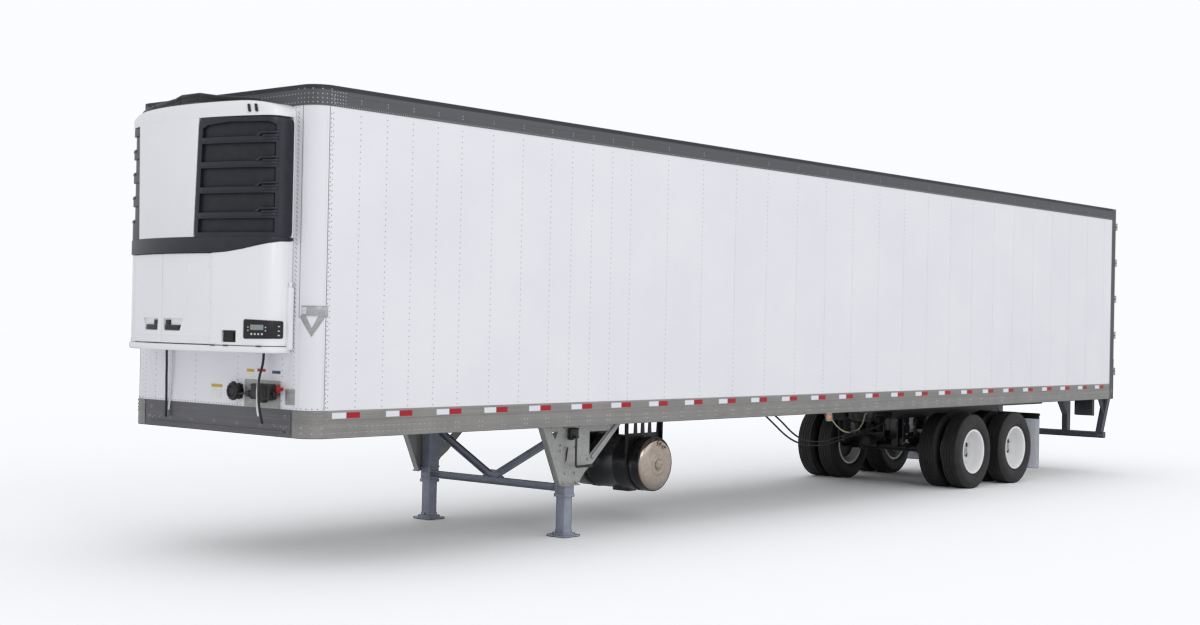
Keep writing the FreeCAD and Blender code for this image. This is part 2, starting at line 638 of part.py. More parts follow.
def wing(corners, out, thick):
    """An outline from the leg's axis, made into a plate on both sides that ends at an outer face."""
    return prism("XZ_Plane", [(f"at.leg_x + ({x})", z) for x, z in corners], thick, f"-({out})", "XZ_Plane")


WING_OUT = "at.leg_out + size.wing_thick"
plates = cut(wing(WING, WING_OUT, "size.wing_thick"), wing(WINDOW, WING_OUT, "size.wing_thick"),
             wing(SLOT, WING_OUT, "size.wing_thick"))
folds = wing(FOLD, "at.leg_out", "62")
TUBE_TOP = "size.brace_low + size.brace_tube"
BRACE = [("at.leg_in", "size.brace_low"), ("at.leg_in", TUBE_TOP), ("75", TUBE_TOP),
         ("at.leg_in", "size.brace_high - 80"), ("at.leg_in", "size.brace_high"),
         (ZERO, f"{TUBE_TOP} + 55")]
BRACE += [(f"-({y})", z) for y, z in reversed(BRACE[:-1])]
node("landing_braces", joined(plates, folds, prism("YZ_Plane", BRACE, "60", "at.leg_x + 5")))

# A shaft joins the two legs' gears, and a crank folds down outside the left one's gearbox
GEAR_OUT = f"{WING_OUT} + 52"
ARM_Y = (f"{GEAR_OUT} + 28", f"{GEAR_OUT} + 46")
node("landing_crank", joined(
    rod("y", ("at.leg_x + 30", "-at.leg_in", "size.crank_shaft"), "2 * at.leg_in", "14"),
    block(("at.leg_x - 75", "at.leg_x + 55"), (WING_OUT, GEAR_OUT), ("985", "1100")),
    rod("y", ("at.leg_x + 20", GEAR_OUT, "1010"), "46", "13"),
    block(("at.leg_x + 5", "at.leg_x + 35"), ARM_Y, ("705", "1030")),
    block(("at.leg_x - 230", "at.leg_x + 35"), ARM_Y, ("700", "726"))))

# ---------------------------------------------------------------------------------------------
# Fuel tank for the refrigeration unit
# ---------------------------------------------------------------------------------------------
TANK = ("at.tank_x", "-size.tank_far", "size.tank_axis")
TANK_LONG = "size.tank_near + size.tank_far"
# Half sections, (radius, along): the shell ends in a collar, and a cap closes it
SHELL = [(ZERO, ZERO), ("size.tank_radius - 70", ZERO, "-70"), ("size.tank_radius", "70"),
         ("size.tank_radius", f"{TANK_LONG} - size.tank_collar - 2"),
         ("size.tank_radius + 6", f"{TANK_LONG} - size.tank_collar"),
         ("size.tank_radius + 6", TANK_LONG), (ZERO, TANK_LONG)]
CAP = [(ZERO, ZERO), ("size.tank_radius - 6", ZERO), ("size.tank_radius - 6", "14"),
       ("size.tank_radius - 26", "32"), ("110", "50"), ("60", "50"), ("60", "70"), ("42", "82"),
       (ZERO, "82")]
sump = block(("at.tank_x - 90", "at.tank_x + 60"), ("330", "560"),
             ("size.tank_axis - size.tank_radius - 30", "size.tank_axis - size.tank_radius + 30"))
node("fuel_tank", joined(turned(SHELL, TANK), sump,
                         turned(CAP, ("at.tank_x", "size.tank_near", "size.tank_axis"))))


def tank_slice(low, extra):
    """A disc on the tank's axis, as wide as a hanger and that much larger than the shell."""
    return rod("y", ("at.tank_x", low, "size.tank_axis"), "size.hanger_wide", f"size.tank_radius + {extra}")


hangers = []
for low in ("60", "690"):
    wide = (low, f"{low} + size.hanger_wide")
    plate = block(("at.tank_x - 300", "at.tank_x + 300"), wide, ("size.tank_axis + 90", "at.member_low"))
    windows = [block((f"at.tank_x + {a}", f"at.tank_x + {b}"), wide,
                     ("size.tank_axis + size.tank_radius + 30", "at.member_low - 40"))
               for a, b in ((-250, -40), (40, 250))]
    strap = cut(tank_slice(low, 8), tank_slice(low, 1))
    hangers.append(joined(cut(plate, tank_slice(low, 1), *windows), strap))
node("fuel_tank_brackets", joined(*hangers))

# ---------------------------------------------------------------------------------------------
# Sliding bogie: frame, suspension, axles
# ---------------------------------------------------------------------------------------------
AXLES = ("axle_1", "axle_2")
BOGIE_Y = ("at.bogie_in", "at.bogie_out")
ARM_INSIDE = ("at.bogie_in + 14", "at.bogie_out - 14")
node("slider_rails", joined(*[
    block(("at.axle_2 - 2400", "at.axle_1 + 1750"), mirrored_y(side, *BOGIE_Y),
          ("at.slider_low", "at.member_low"))
    for name, side in SIDES]))

# Cross members, from the axle each is near, and a pair of cheeks that hold each trailing arm's pivot
CROSS = (("axle_1", 620), ("axle_1", -420), ("axle_2", 480), ("axle_2", -700))
bogie = [block((f"at.{axle} + {start}", f"at.{axle} + {start} + 80"), ("-at.bogie_in", "at.bogie_in"),
               ("at.bogie_low + 10", "at.slider_low - 10")) for axle, start in CROSS]
for name, side in SIDES:
    bogie.append(block(("at.axle_2 - 900", "at.axle_1 + 900"), mirrored_y(side, *BOGIE_Y),
                       ("at.bogie_low", "at.slider_low")))
    for axle in AXLES:
        pivot = (f"at.{axle} + size.arm_ahead - 80", f"at.{axle} + size.arm_ahead + 80")
        for cheek in (("at.bogie_in", "at.bogie_in + 12"), ("at.bogie_out - 12", "at.bogie_out")):
            bogie.append(block(pivot, mirrored_y(side, *cheek), ("size.tyre_radius + 40", "at.bogie_low")))
node("bogie_frame", joined(*bogie))

ON_ARM = "at.bogie_low - at.arm_high"
springs, chambers = [], []
for name, side in SIDES:
    for axle in AXLES:
        middle = f"{side} * size.frame_spread"
        springs.append(rod("z", (f"at.{axle} - size.spring_behind", middle, "at.arm_high"), ON_ARM,
                           "size.spring_radius"))
        springs.append(rod("z", (f"at.{axle} + 190", middle, "at.arm_high"), ON_ARM, "32"))
        chamber = (f"{side} * 240", "size.tyre_radius + 75")
        chambers.append(rod("x", (f"at.{axle} + 100", *chamber), "150", "82"))
        chambers.append(rod("x", (f"at.{axle} + 250", *chamber), "90", "70"))
node("air_springs", joined(*springs))
node("brake_chambers", joined(*chambers))

SPINDLE_END = "size.tyre_mid + size.disc_bolt_face + 60"
TUBE_END = "size.tyre_mid - 330"
axles = []
for axle in AXLES:
    for end, radius in ((TUBE_END, "size.axle_radius"), (SPINDLE_END, "size.spindle_radius")):
        axles.append(rod("y", (f"at.{axle}", f"-({end})", "size.tyre_radius"), f"2 * ({end})", radius))
    for name, side in SIDES:
        arm = (f"at.{axle} - size.arm_ahead", f"at.{axle} + size.arm_ahead + 45")
        inside = mirrored_y(side, *ARM_INSIDE)
        axles.append(block(arm, inside, ("at.arm_low", "at.arm_high")))
        axles.append(block((f"at.{axle} - 70", f"at.{axle} + 70"), inside,
                           ("size.tyre_radius - 75", "at.arm_low")))
        axles.append(block((f"at.{axle} + 20", f"at.{axle} + 98"), mirrored_y(side, "200", "280"),
                           ("size.tyre_radius - 20", "size.tyre_radius + 120")))
node("axles", joined(*axles))

RESERVOIR_Z = "at.member_low - size.reservoir_radius - 10"
node("air_reservoirs", joined(*[
    rod("y", ("at.axle_1 + size.reservoir_ahead", low, RESERVOIR_Z), "360", "size.reservoir_radius")
    for low in ("-380", "20")]))

# ---------------------------------------------------------------------------------------------
# Wheels: each axle end carries two tyres, two rims bolted together, a hub and a drum
# ---------------------------------------------------------------------------------------------
HALF_TYRE = "size.tyre_wide / 2"
# Half sections, (radius, along the axle). A tyre's bead stands on the rim, inside its flange
TYRE = [("size.rim_radius - 2", f"-{HALF_TYRE} + 45"), ("size.rim_radius - 2", f"-{HALF_TYRE} + 34"),
        ("size.rim_flange + 4", f"-{HALF_TYRE} + 34"), ("size.rim_flange + 60", f"-{HALF_TYRE}"),
        ("size.tyre_radius - 110", f"-{HALF_TYRE}"), ("size.tyre_radius - 30", f"-{HALF_TYRE} + 14"),
        ("size.tyre_radius - 8", f"-{HALF_TYRE} + 32"), ("size.tyre_radius", f"-{HALF_TYRE} + 60")]
TYRE += [(radius, along.replace("-size", "size").replace("+", "-")) for radius, along in reversed(TYRE)]
DUAL = "size.dual_spacing / 2"
# The outer rim, from its flange's seat inwards along its outboard side, then its inboard side
RIM_OUT = [("size.rim_radius - 2", f"{DUAL} + 95"), ("size.rim_radius - 2", f"{DUAL} + 108"),
           ("size.rim_flange", f"{DUAL} + 108"), ("size.rim_flange", f"{DUAL} + 122"),
           ("size.rim_radius - 14", f"{DUAL} + 122"), ("size.rim_radius - 24", f"{DUAL} + 70"),
           ("size.rim_radius - 36", f"{DUAL} - 20"), ("190", "20"), ("120", "14")]
RIM_IN = [("size.rim_radius - 22", "30"), ("size.rim_radius - 22", f"{DUAL} - 20")]
RIMS = RIM_OUT + [(radius, f"-({along})") for radius, along in reversed(RIM_OUT)]
RIMS += [(radius, f"-({along})") for radius, along in reversed(RIM_IN)] + RIM_IN
# The hub and the brake drum that it carries
HUB = [("size.spindle_radius + 0.5", "-120"), ("95", "-120"), ("95", "-40"),
       ("size.drum_radius - 10", "-40"), ("size.drum_radius - 10", "-200"),
       ("size.drum_radius", "-200"), ("size.drum_radius", "-22"), ("119", "-22"), ("119", "30"),
       ("85", "34"), ("80", "150"), ("60", "166"), (ZERO, "166"), (ZERO, "155"),
       ("size.spindle_radius + 0.5", "155")]
for place, axle in (("front", "axle_1"), ("rear", "axle_2")):
    for name, side in SIDES:
        flip = side < 0
        centre = (f"at.{axle}", f"{side} * size.tyre_mid", "size.tyre_radius")
        pair = [turned(TYRE, (centre[0], f"{side} * (size.tyre_mid + {out} * {DUAL})", centre[2]))
                for out in (-1, 1)]
        node(f"{place}_{name}_tyres", joined(*pair))
        node(f"{place}_{name}_wheels", joined(turned(RIMS, centre, flip), turned(HUB, centre, flip)))

# ---------------------------------------------------------------------------------------------
# Mudflaps, rear guard, lamps
# ---------------------------------------------------------------------------------------------
flaps = []
for name, side in SIDES:
    flap = mirrored_y(side, "size.flap_in", "size.flap_out")
    flaps.append(block(("at.flap_x - 4", "at.flap_x + 4"), flap, ("size.flap_low", "at.flap_top")))
    bar = mirrored_y(side, "at.bogie_out", "size.flap_out")
    flaps.append(block(("at.flap_x - 20", "at.flap_x + 20"), bar, ("at.flap_top", "at.flap_top + 35")))
node("mudflaps", joined(*flaps))

GUARD_TOP = "size.guard_axis + size.guard_bar / 2"
# Inner struts seen from the side, as (ahead of the guard's face, above the ground), and gussets
STRUT = [("5", GUARD_TOP), ("-95", GUARD_TOP), ("-95", "at.rail_low"), ("200", "at.rail_low"),
         ("180", "1050"), ("10", "860")]
GUSSET = [("5", "880"), ("5", "at.rail_low"), ("190", "at.rail_low")]
# Outer struts seen from behind: they lean out to the rails
LEAN = [("at.guard_half - 120", GUARD_TOP), ("at.guard_half - 35", GUARD_TOP),
        ("at.half - 5", "at.rail_low"), ("at.half - 95", "at.rail_low")]
node("rear_impact_guard", joined(
    block(("at.guard_x - 85", "at.guard_x"), ("-at.guard_half", "at.guard_half"),
          ("size.guard_axis - size.guard_bar / 2", GUARD_TOP)),
    prism("XZ_Plane", [(f"at.guard_x + ({x})", z) for x, z in STRUT], "85", "665.4 - at.half", "XZ_Plane"),
    prism("XZ_Plane", [(f"at.guard_x + ({x})", z) for x, z in GUSSET], "20", "60 - at.half", "XZ_Plane"),
    prism("YZ_Plane", LEAN, "95", "at.guard_x - 90", "XZ_Plane")))

MID_LAMP = "at.front - 7960"
lamps = []
for name, side in SIDES:
    hung = mirrored_y(side, "at.half - 555.4", "at.half - 260.4")
    lamps.append(block(("at.guard_x - 90", "at.guard_x - 10"), hung, ("855", "at.rail_low")))
    hung = mirrored_y(side, "at.half - 30", "at.half + 2")
    lamps.append(block((f"{MID_LAMP} - 62", f"{MID_LAMP} + 62"), hung,
                       ("at.rail_low - 96", "at.rail_low")))
    proud = mirrored_y(side, "at.half", "at.half + size.lamp_proud")
    lamps.append(block(("at.rear + 35", "at.rear + 95"), proud,
                       ("at.rail_low + 90", "at.rail_low + 150")))
node("lamps", joined(*lamps))

# ---------------------------------------------------------------------------------------------
# Refrigeration unit on the front wall
# ---------------------------------------------------------------------------------------------

def on_face(y, inset):
    """A corner of an outline where the bowed face, set back by an inset, crosses a given y."""
    return (f"at.unit_x0 + sqrt((size.unit_face - ({inset}))^2 - ({y})^2)", y)


def wrap(side, inset, back):
    """Corners from the bowed face round a vertical corner to the wall, on one side."""
    face, bend = f"(size.unit_face - ({inset}))", f"(size.unit_corner - ({inset}))"
    flank = f"{side} * (at.unit_half - ({inset}))"
    return [(f"at.unit_x0 + {face} * at.bend_cos", f"{side} * {face} * at.bend_sin", f"{-side} * {bend}"),
            ("at.bend_x", flank), (back, flank)]


def face_strip(start, stop, inset, thick):
    """Outline of a strip of the unit's bowed face between two widths, start below stop."""
    deep = f"{inset} + {thick}"
    outer = [on_face(start, inset) + (f"-(size.unit_face - ({inset}))",), on_face(stop, inset)]
    inner = [on_face(stop, deep) + (f"size.unit_face - ({deep})",), on_face(start, deep)]
    return outer + inner


def corner_strip(side, start, inset, thick, back):
    """Outline of a strip that starts on the face and bends round a corner to the wall."""
    deep = f"{inset} + {thick}"
    begin = on_face(start, inset) + (f"{-side} * (size.unit_face - ({inset}))",)
    outer = [begin] + wrap(side, inset, back)
    inner = list(reversed(wrap(side, deep, back)))
    home = inner[2][:2] + (f"{side} * (size.unit_face - ({deep}))",)
    turn = inner[1] + (f"{side} * (size.unit_corner - ({deep}))",)
    return outer + [inner[0], turn, home, on_face(start, deep)]


def whole(inset, back):
    """Outline of the unit's full plan."""
    right = wrap(-1, inset, back)
    left = wrap(1, inset, back)
    face = f"size.unit_face - ({inset})"
    bend = f"size.unit_corner - ({inset})"
    nose = [right[1] + (f"-({bend})",), right[0][:2] + (f"-({face})",), left[0][:2] + (f"-({bend})",)]
    return [right[2], *nose, left[1], left[2]]


def unit_piece(corners, low, high):
    """A plan outline of the unit made into a piece between two heights."""
    return prism("XY_Plane", corners, f"({high}) - ({low})", low)


BACK = "at.front + 16"
FLUSH, INSET, THICK, GAP = "0", "size.panel_inset", "size.panel_thick", "size.panel_gap"
DOOR_Z = (f"at.door_z + {GAP}", f"at.band_z - {GAP}")
PIN_Z = ("at.door_z + 60", "at.door_z + 370", "at.band_z - 120")


def service_door(start, stop, pin, side):
    """A door of the unit with three hinge pins just ahead of its edge, and leaves that carry them."""
    pieces = [unit_piece(face_strip(start, stop, INSET, THICK), *DOOR_Z)]
    leaf = sorted((f"at.{pin}_y + {side * 3}", f"at.{pin}_y + {side * 22}"), key=worth)
    for low in PIN_Z:
        pieces.append(block((f"at.{pin}_x - 14", f"at.{pin}_x"), leaf, (low, f"{low} + 60")))
        pieces.append(rod("z", (f"at.{pin}_x", f"at.{pin}_y", low), "60", "size.pin_radius"))
    return joined(*pieces)


node("service_door_right", service_door("size.door_a_edge", f"size.door_seam - {GAP} / 2", "pin_a", 1))
node("service_door_left", service_door(f"size.door_seam + {GAP} / 2", f"size.panel_seam - {GAP} / 2",
                                       "pin_b", -1))
node("unit_control_panel", unit_piece(corner_strip(1, f"size.panel_seam + {GAP} / 2", INSET, THICK, BACK),
                                      "at.door_z", "at.band_z"))
band = cut(unit_piece(whole(FLUSH, BACK), "at.band_z", "at.upper_z"),
           unit_piece(whole("40", BACK), "at.band_z", "at.upper_z"))
shelf = block((BACK, "at.bend_x + 40"), ("60 - at.unit_half", "at.unit_half - 60"),
              ("at.band_z + 50", "at.band_z + 62"))
louvre = unit_piece(corner_strip(-1, "size.louvre_edge", INSET, THICK, BACK), "at.upper_z", "at.hood_z")
node("unit_band", joined(band, shelf, louvre))
# Five openings, one above another, between the grille's bars
openings = []
BAR_PITCH = "(size.upper_high / 5 + 8)"
for index in range(5):
    low = f"at.hood_z - 40 - {index + 1} * {BAR_PITCH} + size.grille_bar"
    openings.append(block(("at.front + 140", "at.front + size.unit_nose"), ("size.grille_edge + 60", "960"),
                          (low, f"{low} + {BAR_PITCH} - size.grille_bar")))
grille = unit_piece(corner_strip(1, "size.grille_edge", FLUSH, "42", BACK), "at.upper_z", "at.hood_z")
node("unit_grille", cut(grille, *openings))
node("unit_housing", joined(
    unit_piece(whole(FLUSH, "at.front"), "size.unit_low", "at.door_z"),
    block(("at.front", BACK), ("-at.unit_half", "at.unit_half"), ("at.door_z", "at.hood_z")),
    unit_piece(corner_strip(-1, f"size.door_a_edge - {GAP}", INSET, THICK, BACK), "at.door_z", "at.band_z"),
    unit_piece(face_strip("size.louvre_edge", "size.grille_edge", INSET, THICK), "at.upper_z", "at.hood_z"),
    unit_piece(whole(FLUSH, "at.front"), "at.hood_z", "at.unit_top")))
node("coils", joined(
    block(("at.front + 60", "at.front + 150"), ("size.grille_edge + 20", "930"),
          ("at.upper_z + 20", "at.hood_z - 20")),
    block(("at.inner_x - 330", "at.inner_x"), ("-850", "850"), ("at.hood_z - 900", "at.hood_z - 60"))))
node("engine_block", block((BACK, "at.front + 250"), ("-720", "380"), ("at.door_z", "at.door_z + 640")))

# ---------------------------------------------------------------------------------------------
# Front wall fittings
# ---------------------------------------------------------------------------------------------
ON_SKIN = "at.skin_x"
node("front_wall_plates", joined(
    block((ON_SKIN, f"{ON_SKIN} + 6"), ("410", "900"), ("at.rail_top", "at.rail_top + 240")),
    block((ON_SKIN, f"{ON_SKIN} + 14"), ("972", "1090"), ("at.rail_top + 40", "at.rail_top + 175"))))
node("gladhand_box", joined(
    block((f"{ON_SKIN} + 6", f"{ON_SKIN} + 120"), ("606", "855"), ("at.rail_top + 70", "at.rail_top + 215")),
    rod("x", (f"{ON_SKIN} + 6", "520", "at.rail_top + 120"), "60", "32"),
    block((f"{ON_SKIN} + 40", f"{ON_SKIN} + 66"), ("520", "606"), ("at.rail_top + 108", "at.rail_top + 132"))))
SOCKET = (ON_SKIN, "325", "at.rail_top + 131")
socket = joined(rod("x", SOCKET, "70", "78"), rod("x", SOCKET, "84", "52"))
GLADHAND = (("882", "at.rail_top + 130"), ("925", "at.rail_top + 170"))
node("gladhands", joined(socket, *[
    joined(rod("x", (f"{ON_SKIN} + {back}", y, z), "72", "24"),
           block((f"{ON_SKIN} + {back} + 30", f"{ON_SKIN} + {back} + 60"), (f"{y} - 12", f"{y} + 12"),
                 (f"{z} - 46", f"{z} + 46")))
    for (y, z), back in zip(GLADHAND, (6, 0))]))

# ---------------------------------------------------------------------------------------------
# Hoses: straight runs joined by tangent arcs
# ---------------------------------------------------------------------------------------------


def hose(label, points, diameter):
    """A tube along a route: each corner is an arc as large as its two runs allow."""
    route = [Vector(*point) for point in points]
    edges, start, radii = [], route[0], []
    for before, corner, after in zip(route, route[1:], route[2:]):
        run_in, run_out = (corner - before), (after - corner)
        turn = run_in.getAngle(run_out)
        reach = 0.45 * min(run_in.Length, run_out.Length)
        radii.append(reach / math.tan(turn / 2))
        enter = corner - run_in.normalize() * reach
        leave = corner + run_out.normalize() * reach
        middle = corner + (leave + enter - corner * 2).normalize() * (
            radii[-1] / math.cos(turn / 2) - radii[-1])
        edges += [Part.LineSegment(start, enter).toShape(), Part.Arc(enter, middle, leave).toShape()]
        start = leave
    edges.append(Part.LineSegment(start, route[-1]).toShape())
    path = Part.Wire(edges)
    ring = Part.Wire(Part.Circle(route[0], route[1] - route[0], diameter / 2).toShape())
    piece = doc.addObject("Part::Feature", title("hose"))
    piece.Shape = path.makePipeShell([ring], True, True)
    wanted = math.pi * (diameter / 2) ** 2 * path.Length
    print(f"{label}: length {path.Length:.0f}, radii {', '.join(f'{r:.0f}' for r in radii)}, "
          f"volume {piece.Shape.Volume / wanted:.4f} of section times length")
    return node(label, piece)


# Each drain hose: (ahead of the front wall's skin, left of the middle, above the unit's underside)
DRAINS = {
    "drain_hose_right": [(60, -668, 0), (60, -668, -55), (62, -660, -140), (56, -670, -250),
                         (40, -688, -370), (32, -700, -500), (34, -700, -620)],
    "drain_hose_left": [(60, 735, 0), (60, 735, -50), (82, 748, -120), (134, 772, -215), (158, 798, -330),
                        (156, 812, -480), (124, 818, -600)],
}
for label, route in DRAINS.items():
    hose(label, [(at.skin_x + ahead, left, size("unit_low") + rise) for ahead, left, rise in route], 22)
# Each hose under the floor: (behind the front wall, left of the middle, above the ground)
LINES = {
    "air_line_upper": [
        (7740, 562, 1112), (7790, 562, 1112), (7900, 560, 1062), (8060, 556, 975), (8260, 552, 850),
        (8470, 548, 762), (8700, 540, 722), (8935, 530, 705), (9170, 522, 715), (9400, 515, 748),
        (9630, 508, 776), (9860, 502, 800), (10090, 498, 822), (10320, 495, 842), (10500, 492, 872),
        (10610, 490, 925), (10680, 488, 985), (10740, 488, 985)],
    "air_line_lower": [
        (7740, 420, 1112), (7790, 420, 1112), (7895, 424, 1050), (8060, 430, 950), (8260, 438, 822),
        (8470, 442, 728), (8700, 445, 672), (8935, 446, 650), (9170, 446, 652), (9400, 446, 676),
        (9630, 445, 712), (9860, 446, 748), (10090, 448, 780), (10320, 450, 806), (10500, 451, 842),
        (10610, 452, 905), (10680, 452, 968), (10740, 452, 968)],
    "supply_hose": [
        (9265, 340, 1112), (9310, 340, 1112), (9400, 342, 1045), (9510, 344, 955), (9640, 346, 858),
        (9800, 348, 790), (9980, 348, 768), (10150, 348, 800), (10250, 347, 870), (10300, 346, 950),
        (10325, 344, 1013), (10370, 344, 1013)],
}
for label, route in LINES.items():
    hose(label, [(at.front - back, left, rise) for back, left, rise in route], 16)
# Each starts at a clip under a crossmember
node("hose_clips", joined(*[
    block((f"at.front - {back}", f"at.front - {back} + 60"), (f"{left} - 16", f"{left} + 16"),
          ("at.member_low - 46", "at.member_low")) for (back, left, rise), *rest in LINES.values()]))

# ---------------------------------------------------------------------------------------------
# Check every piece, then write each one to its own file
# ---------------------------------------------------------------------------------------------
doc.recompute()
faults = [item.Name for item in doc.Objects if "Invalid" in item.State or "Error" in item.State]
for label, piece in nodes.items():
    if piece.Shape.isNull() or not piece.Shape.isValid() or not piece.Shape.Solids:
        faults.append(label)
if faults:
    raise SystemExit(f"pieces that failed: {faults}")
if len(nodes) > 60:
    raise SystemExit(f"{len(nodes)} nodes are more than 60")
for label, piece in nodes.items():
    piece.Shape.exportStep(f"parts/{label}.step")
box = FreeCAD.BoundBox()
for piece in nodes.values():
    box.add(piece.Shape.BoundBox)
print(len(nodes), "pieces,", box)
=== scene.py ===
# %% [markdown]
# # A refrigerated semi-trailer
# The trailer's construction is already made and packed: every rail, wall, wheel and hinge is where it
# belongs. This lesson gives it its surfaces, and the small things that are too fine for the construction:
# rivets, tape, tread, screens, handles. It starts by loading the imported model. Nothing in it is moved.

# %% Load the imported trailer
import math
import bmesh
import bpy
from mathutils import Matrix, Vector


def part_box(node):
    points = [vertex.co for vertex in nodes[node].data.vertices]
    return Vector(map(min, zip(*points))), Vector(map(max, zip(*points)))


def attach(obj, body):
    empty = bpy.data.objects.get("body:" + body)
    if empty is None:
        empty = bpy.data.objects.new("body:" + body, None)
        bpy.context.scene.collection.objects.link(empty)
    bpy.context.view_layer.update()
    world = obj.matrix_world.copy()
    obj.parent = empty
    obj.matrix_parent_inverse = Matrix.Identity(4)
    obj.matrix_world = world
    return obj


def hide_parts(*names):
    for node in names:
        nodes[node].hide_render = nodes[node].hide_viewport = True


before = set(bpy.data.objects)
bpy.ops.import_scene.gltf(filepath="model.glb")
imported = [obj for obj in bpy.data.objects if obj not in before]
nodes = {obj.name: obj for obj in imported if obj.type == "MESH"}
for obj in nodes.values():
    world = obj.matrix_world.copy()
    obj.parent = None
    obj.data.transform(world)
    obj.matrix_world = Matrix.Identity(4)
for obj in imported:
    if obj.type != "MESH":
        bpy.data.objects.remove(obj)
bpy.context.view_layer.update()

# %% [markdown]
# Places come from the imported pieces' own boxes, so they follow the construction. `low` and `high` give one
# corner of a node's box; the names below are the lines of the body that many small things are set out from.

# %% Lines of the body
MM = 0.001
INCH = 25.4 * MM
SIDES = ((1, "left"), (-1, "right"))


def low(name):
    return Vector(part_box(name)[0])


def high(name):
    return Vector(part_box(name)[1])


def middle(name):
    return (low(name) + high(name)) / 2


CORNER = 180 * MM  # outer radius of the body's front corners
FRONT, REAR = high("side_bottom_rails").x + CORNER, low("rear_frame").x
RAIL_Y, SKIN_Y = high("side_bottom_rails").y, high("side_walls").y
SKIN_X, SEAM_X, FRAME_X = high("front_wall").x, high("side_walls").x, high("rear_frame").x
RAIL_LOW, RAIL_TOP = low("side_bottom_rails").z, high("side_bottom_rails").z
COVE, ROOF_TOP = low("side_top_rails").z, high("side_top_rails").z
BEAM = RAIL_LOW + 8 * MM  # underside of the crossmembers
print("front wall", round(FRONT, 3), "rear", round(REAR, 3), "half width", round(RAIL_Y, 4))

# %% [markdown]
# Colours are written as sRGB hex, the way a paint chart gives them, and turned to the linear values that
# the shader wants by one function. `add` puts one node in a tree with its settings and its links. The four
# patterns that nearly every finish is made of, noise, a stretched range, a mix of two colours and a bump,
# come next.

# %% Colour and node helpers


def linear(code):
    """An sRGB hex colour as linear red, green, blue and alpha."""
    values = [int(code[i:i + 2], 16) / 255 for i in (1, 3, 5)]
    return [v / 12.92 if v <= 0.04045 else ((v + 0.055) / 1.055) ** 2.4 for v in values] + [1.0]


def add(tree, kind, settings=(), **inputs):
    """One node: settings are attributes, inputs are values or the sockets that feed them."""
    made = tree.nodes.new(kind)
    for key, value in dict(settings).items():
        setattr(made, key, value)
    for key, value in inputs.items():
        socket = made.inputs[int(key[1:])] if key[0] == "_" else made.inputs[key.replace("_", " ")]
        if isinstance(value, bpy.types.NodeSocket):
            tree.links.new(value, socket)
        else:
            socket.default_value = value
    return made


def new_material(name, **shader):
    """A material with its Principled shader set, and the place that patterns start from."""
    material = bpy.data.materials.new(name)
    material.use_nodes = True
    tree = material.node_tree
    surface = tree.nodes["Principled BSDF"]
    for key, value in shader.items():
        surface.inputs[key.replace("_", " ")].default_value = value
    place = add(tree, "ShaderNodeTexCoord").outputs["Object"]
    return material, tree, surface, place


def noise(tree, place, size_mm, detail, roughness=0.5):
    """Noise with lumps of about this size."""
    return add(tree, "ShaderNodeTexNoise", Vector=place, Scale=1000 / size_mm, Detail=detail,
               Roughness=roughness).outputs["Fac"]


def ranged(tree, value, start=0.3, end=0.7, **ends):
    """Stretch a value's range from start to end over 0 to 1, or over other ends."""
    return add(tree, "ShaderNodeMapRange", Value=value, From_Min=start, From_Max=end, **ends).outputs["Result"]


def mixed(tree, share, first, second):
    """A mix of two colours, each a hex code or a socket."""
    first, second = (linear(colour) if isinstance(colour, str) else colour for colour in (first, second))
    return add(tree, "ShaderNodeMix", {"data_type": "RGBA"}, _0=share, _6=first, _7=second).outputs[2]


def finish_with(tree, surface, colour, height=None, strength=0.0, distance=0.0):
    """Feed the shader's colour, and a bump if there is one."""
    tree.links.new(colour, surface.inputs["Base Color"])
    if height is not None:
        bump = add(tree, "ShaderNodeBump", Strength=strength, Distance=distance, Height=height)
        tree.links.new(bump.outputs["Normal"], surface.inputs["Normal"])


# %% [markdown]
# ## Paints and metals
# The walls are sheets of aluminium, pre-painted white at the mill in a polyester coat. The coat is smooth
# and half glossy; what the eye sees is the sheet itself, which is never quite flat between its rivets. A
# wide, very low wave in the bump gives that, and a faint change of grey gives road film.

# %% Painted aluminium sheet


def painted_sheet(name, light, dark, roughness, wave, wave_mm=420):
    material, tree, surface, place = new_material(name, Roughness=roughness, IOR=1.5, Coat_Weight=0.15,
                                                  Coat_Roughness=0.12)
    film = noise(tree, place, 1300, 4.0, 0.6)
    finish_with(tree, surface, mixed(tree, ranged(tree, film, 0.32, 0.62), dark, light),
                noise(tree, place, wave_mm, 1.0), wave, 0.02)
    return material


white_sheet = painted_sheet("prepainted aluminium sheet", "#f4f4f8", "#efeff4", 0.34, 0.10)
unit_shell = painted_sheet("white moulded composite", "#fcfcfe", "#f8f8fb", 0.28, 0.05, 260)
liner = painted_sheet("white glass fibre liner", "#eeeeec", "#e2e3e0", 0.42, 0.12, 300)
wheel_enamel = painted_sheet("white powder coat", "#fafafa", "#f3f3f4", 0.25, 0.03, 60)
print("paints made")

# %% [markdown]
# The rails are aluminium extrusions straight from the press: mill finish. Drawing leaves fine lines along
# their length and the metal dulls unevenly in the weather, so the grain is a noise stretched along X, and a
# broad noise moves the roughness. The lines are drawn 6 mm apart, coarser than real ones, so that they
# show. The top rail's upper edge is a rolled lip that turns away from the light, so it is drawn darker from
# there up.

# %% Mill finish aluminium
FINE = (60.0, 60.0, 60.0)


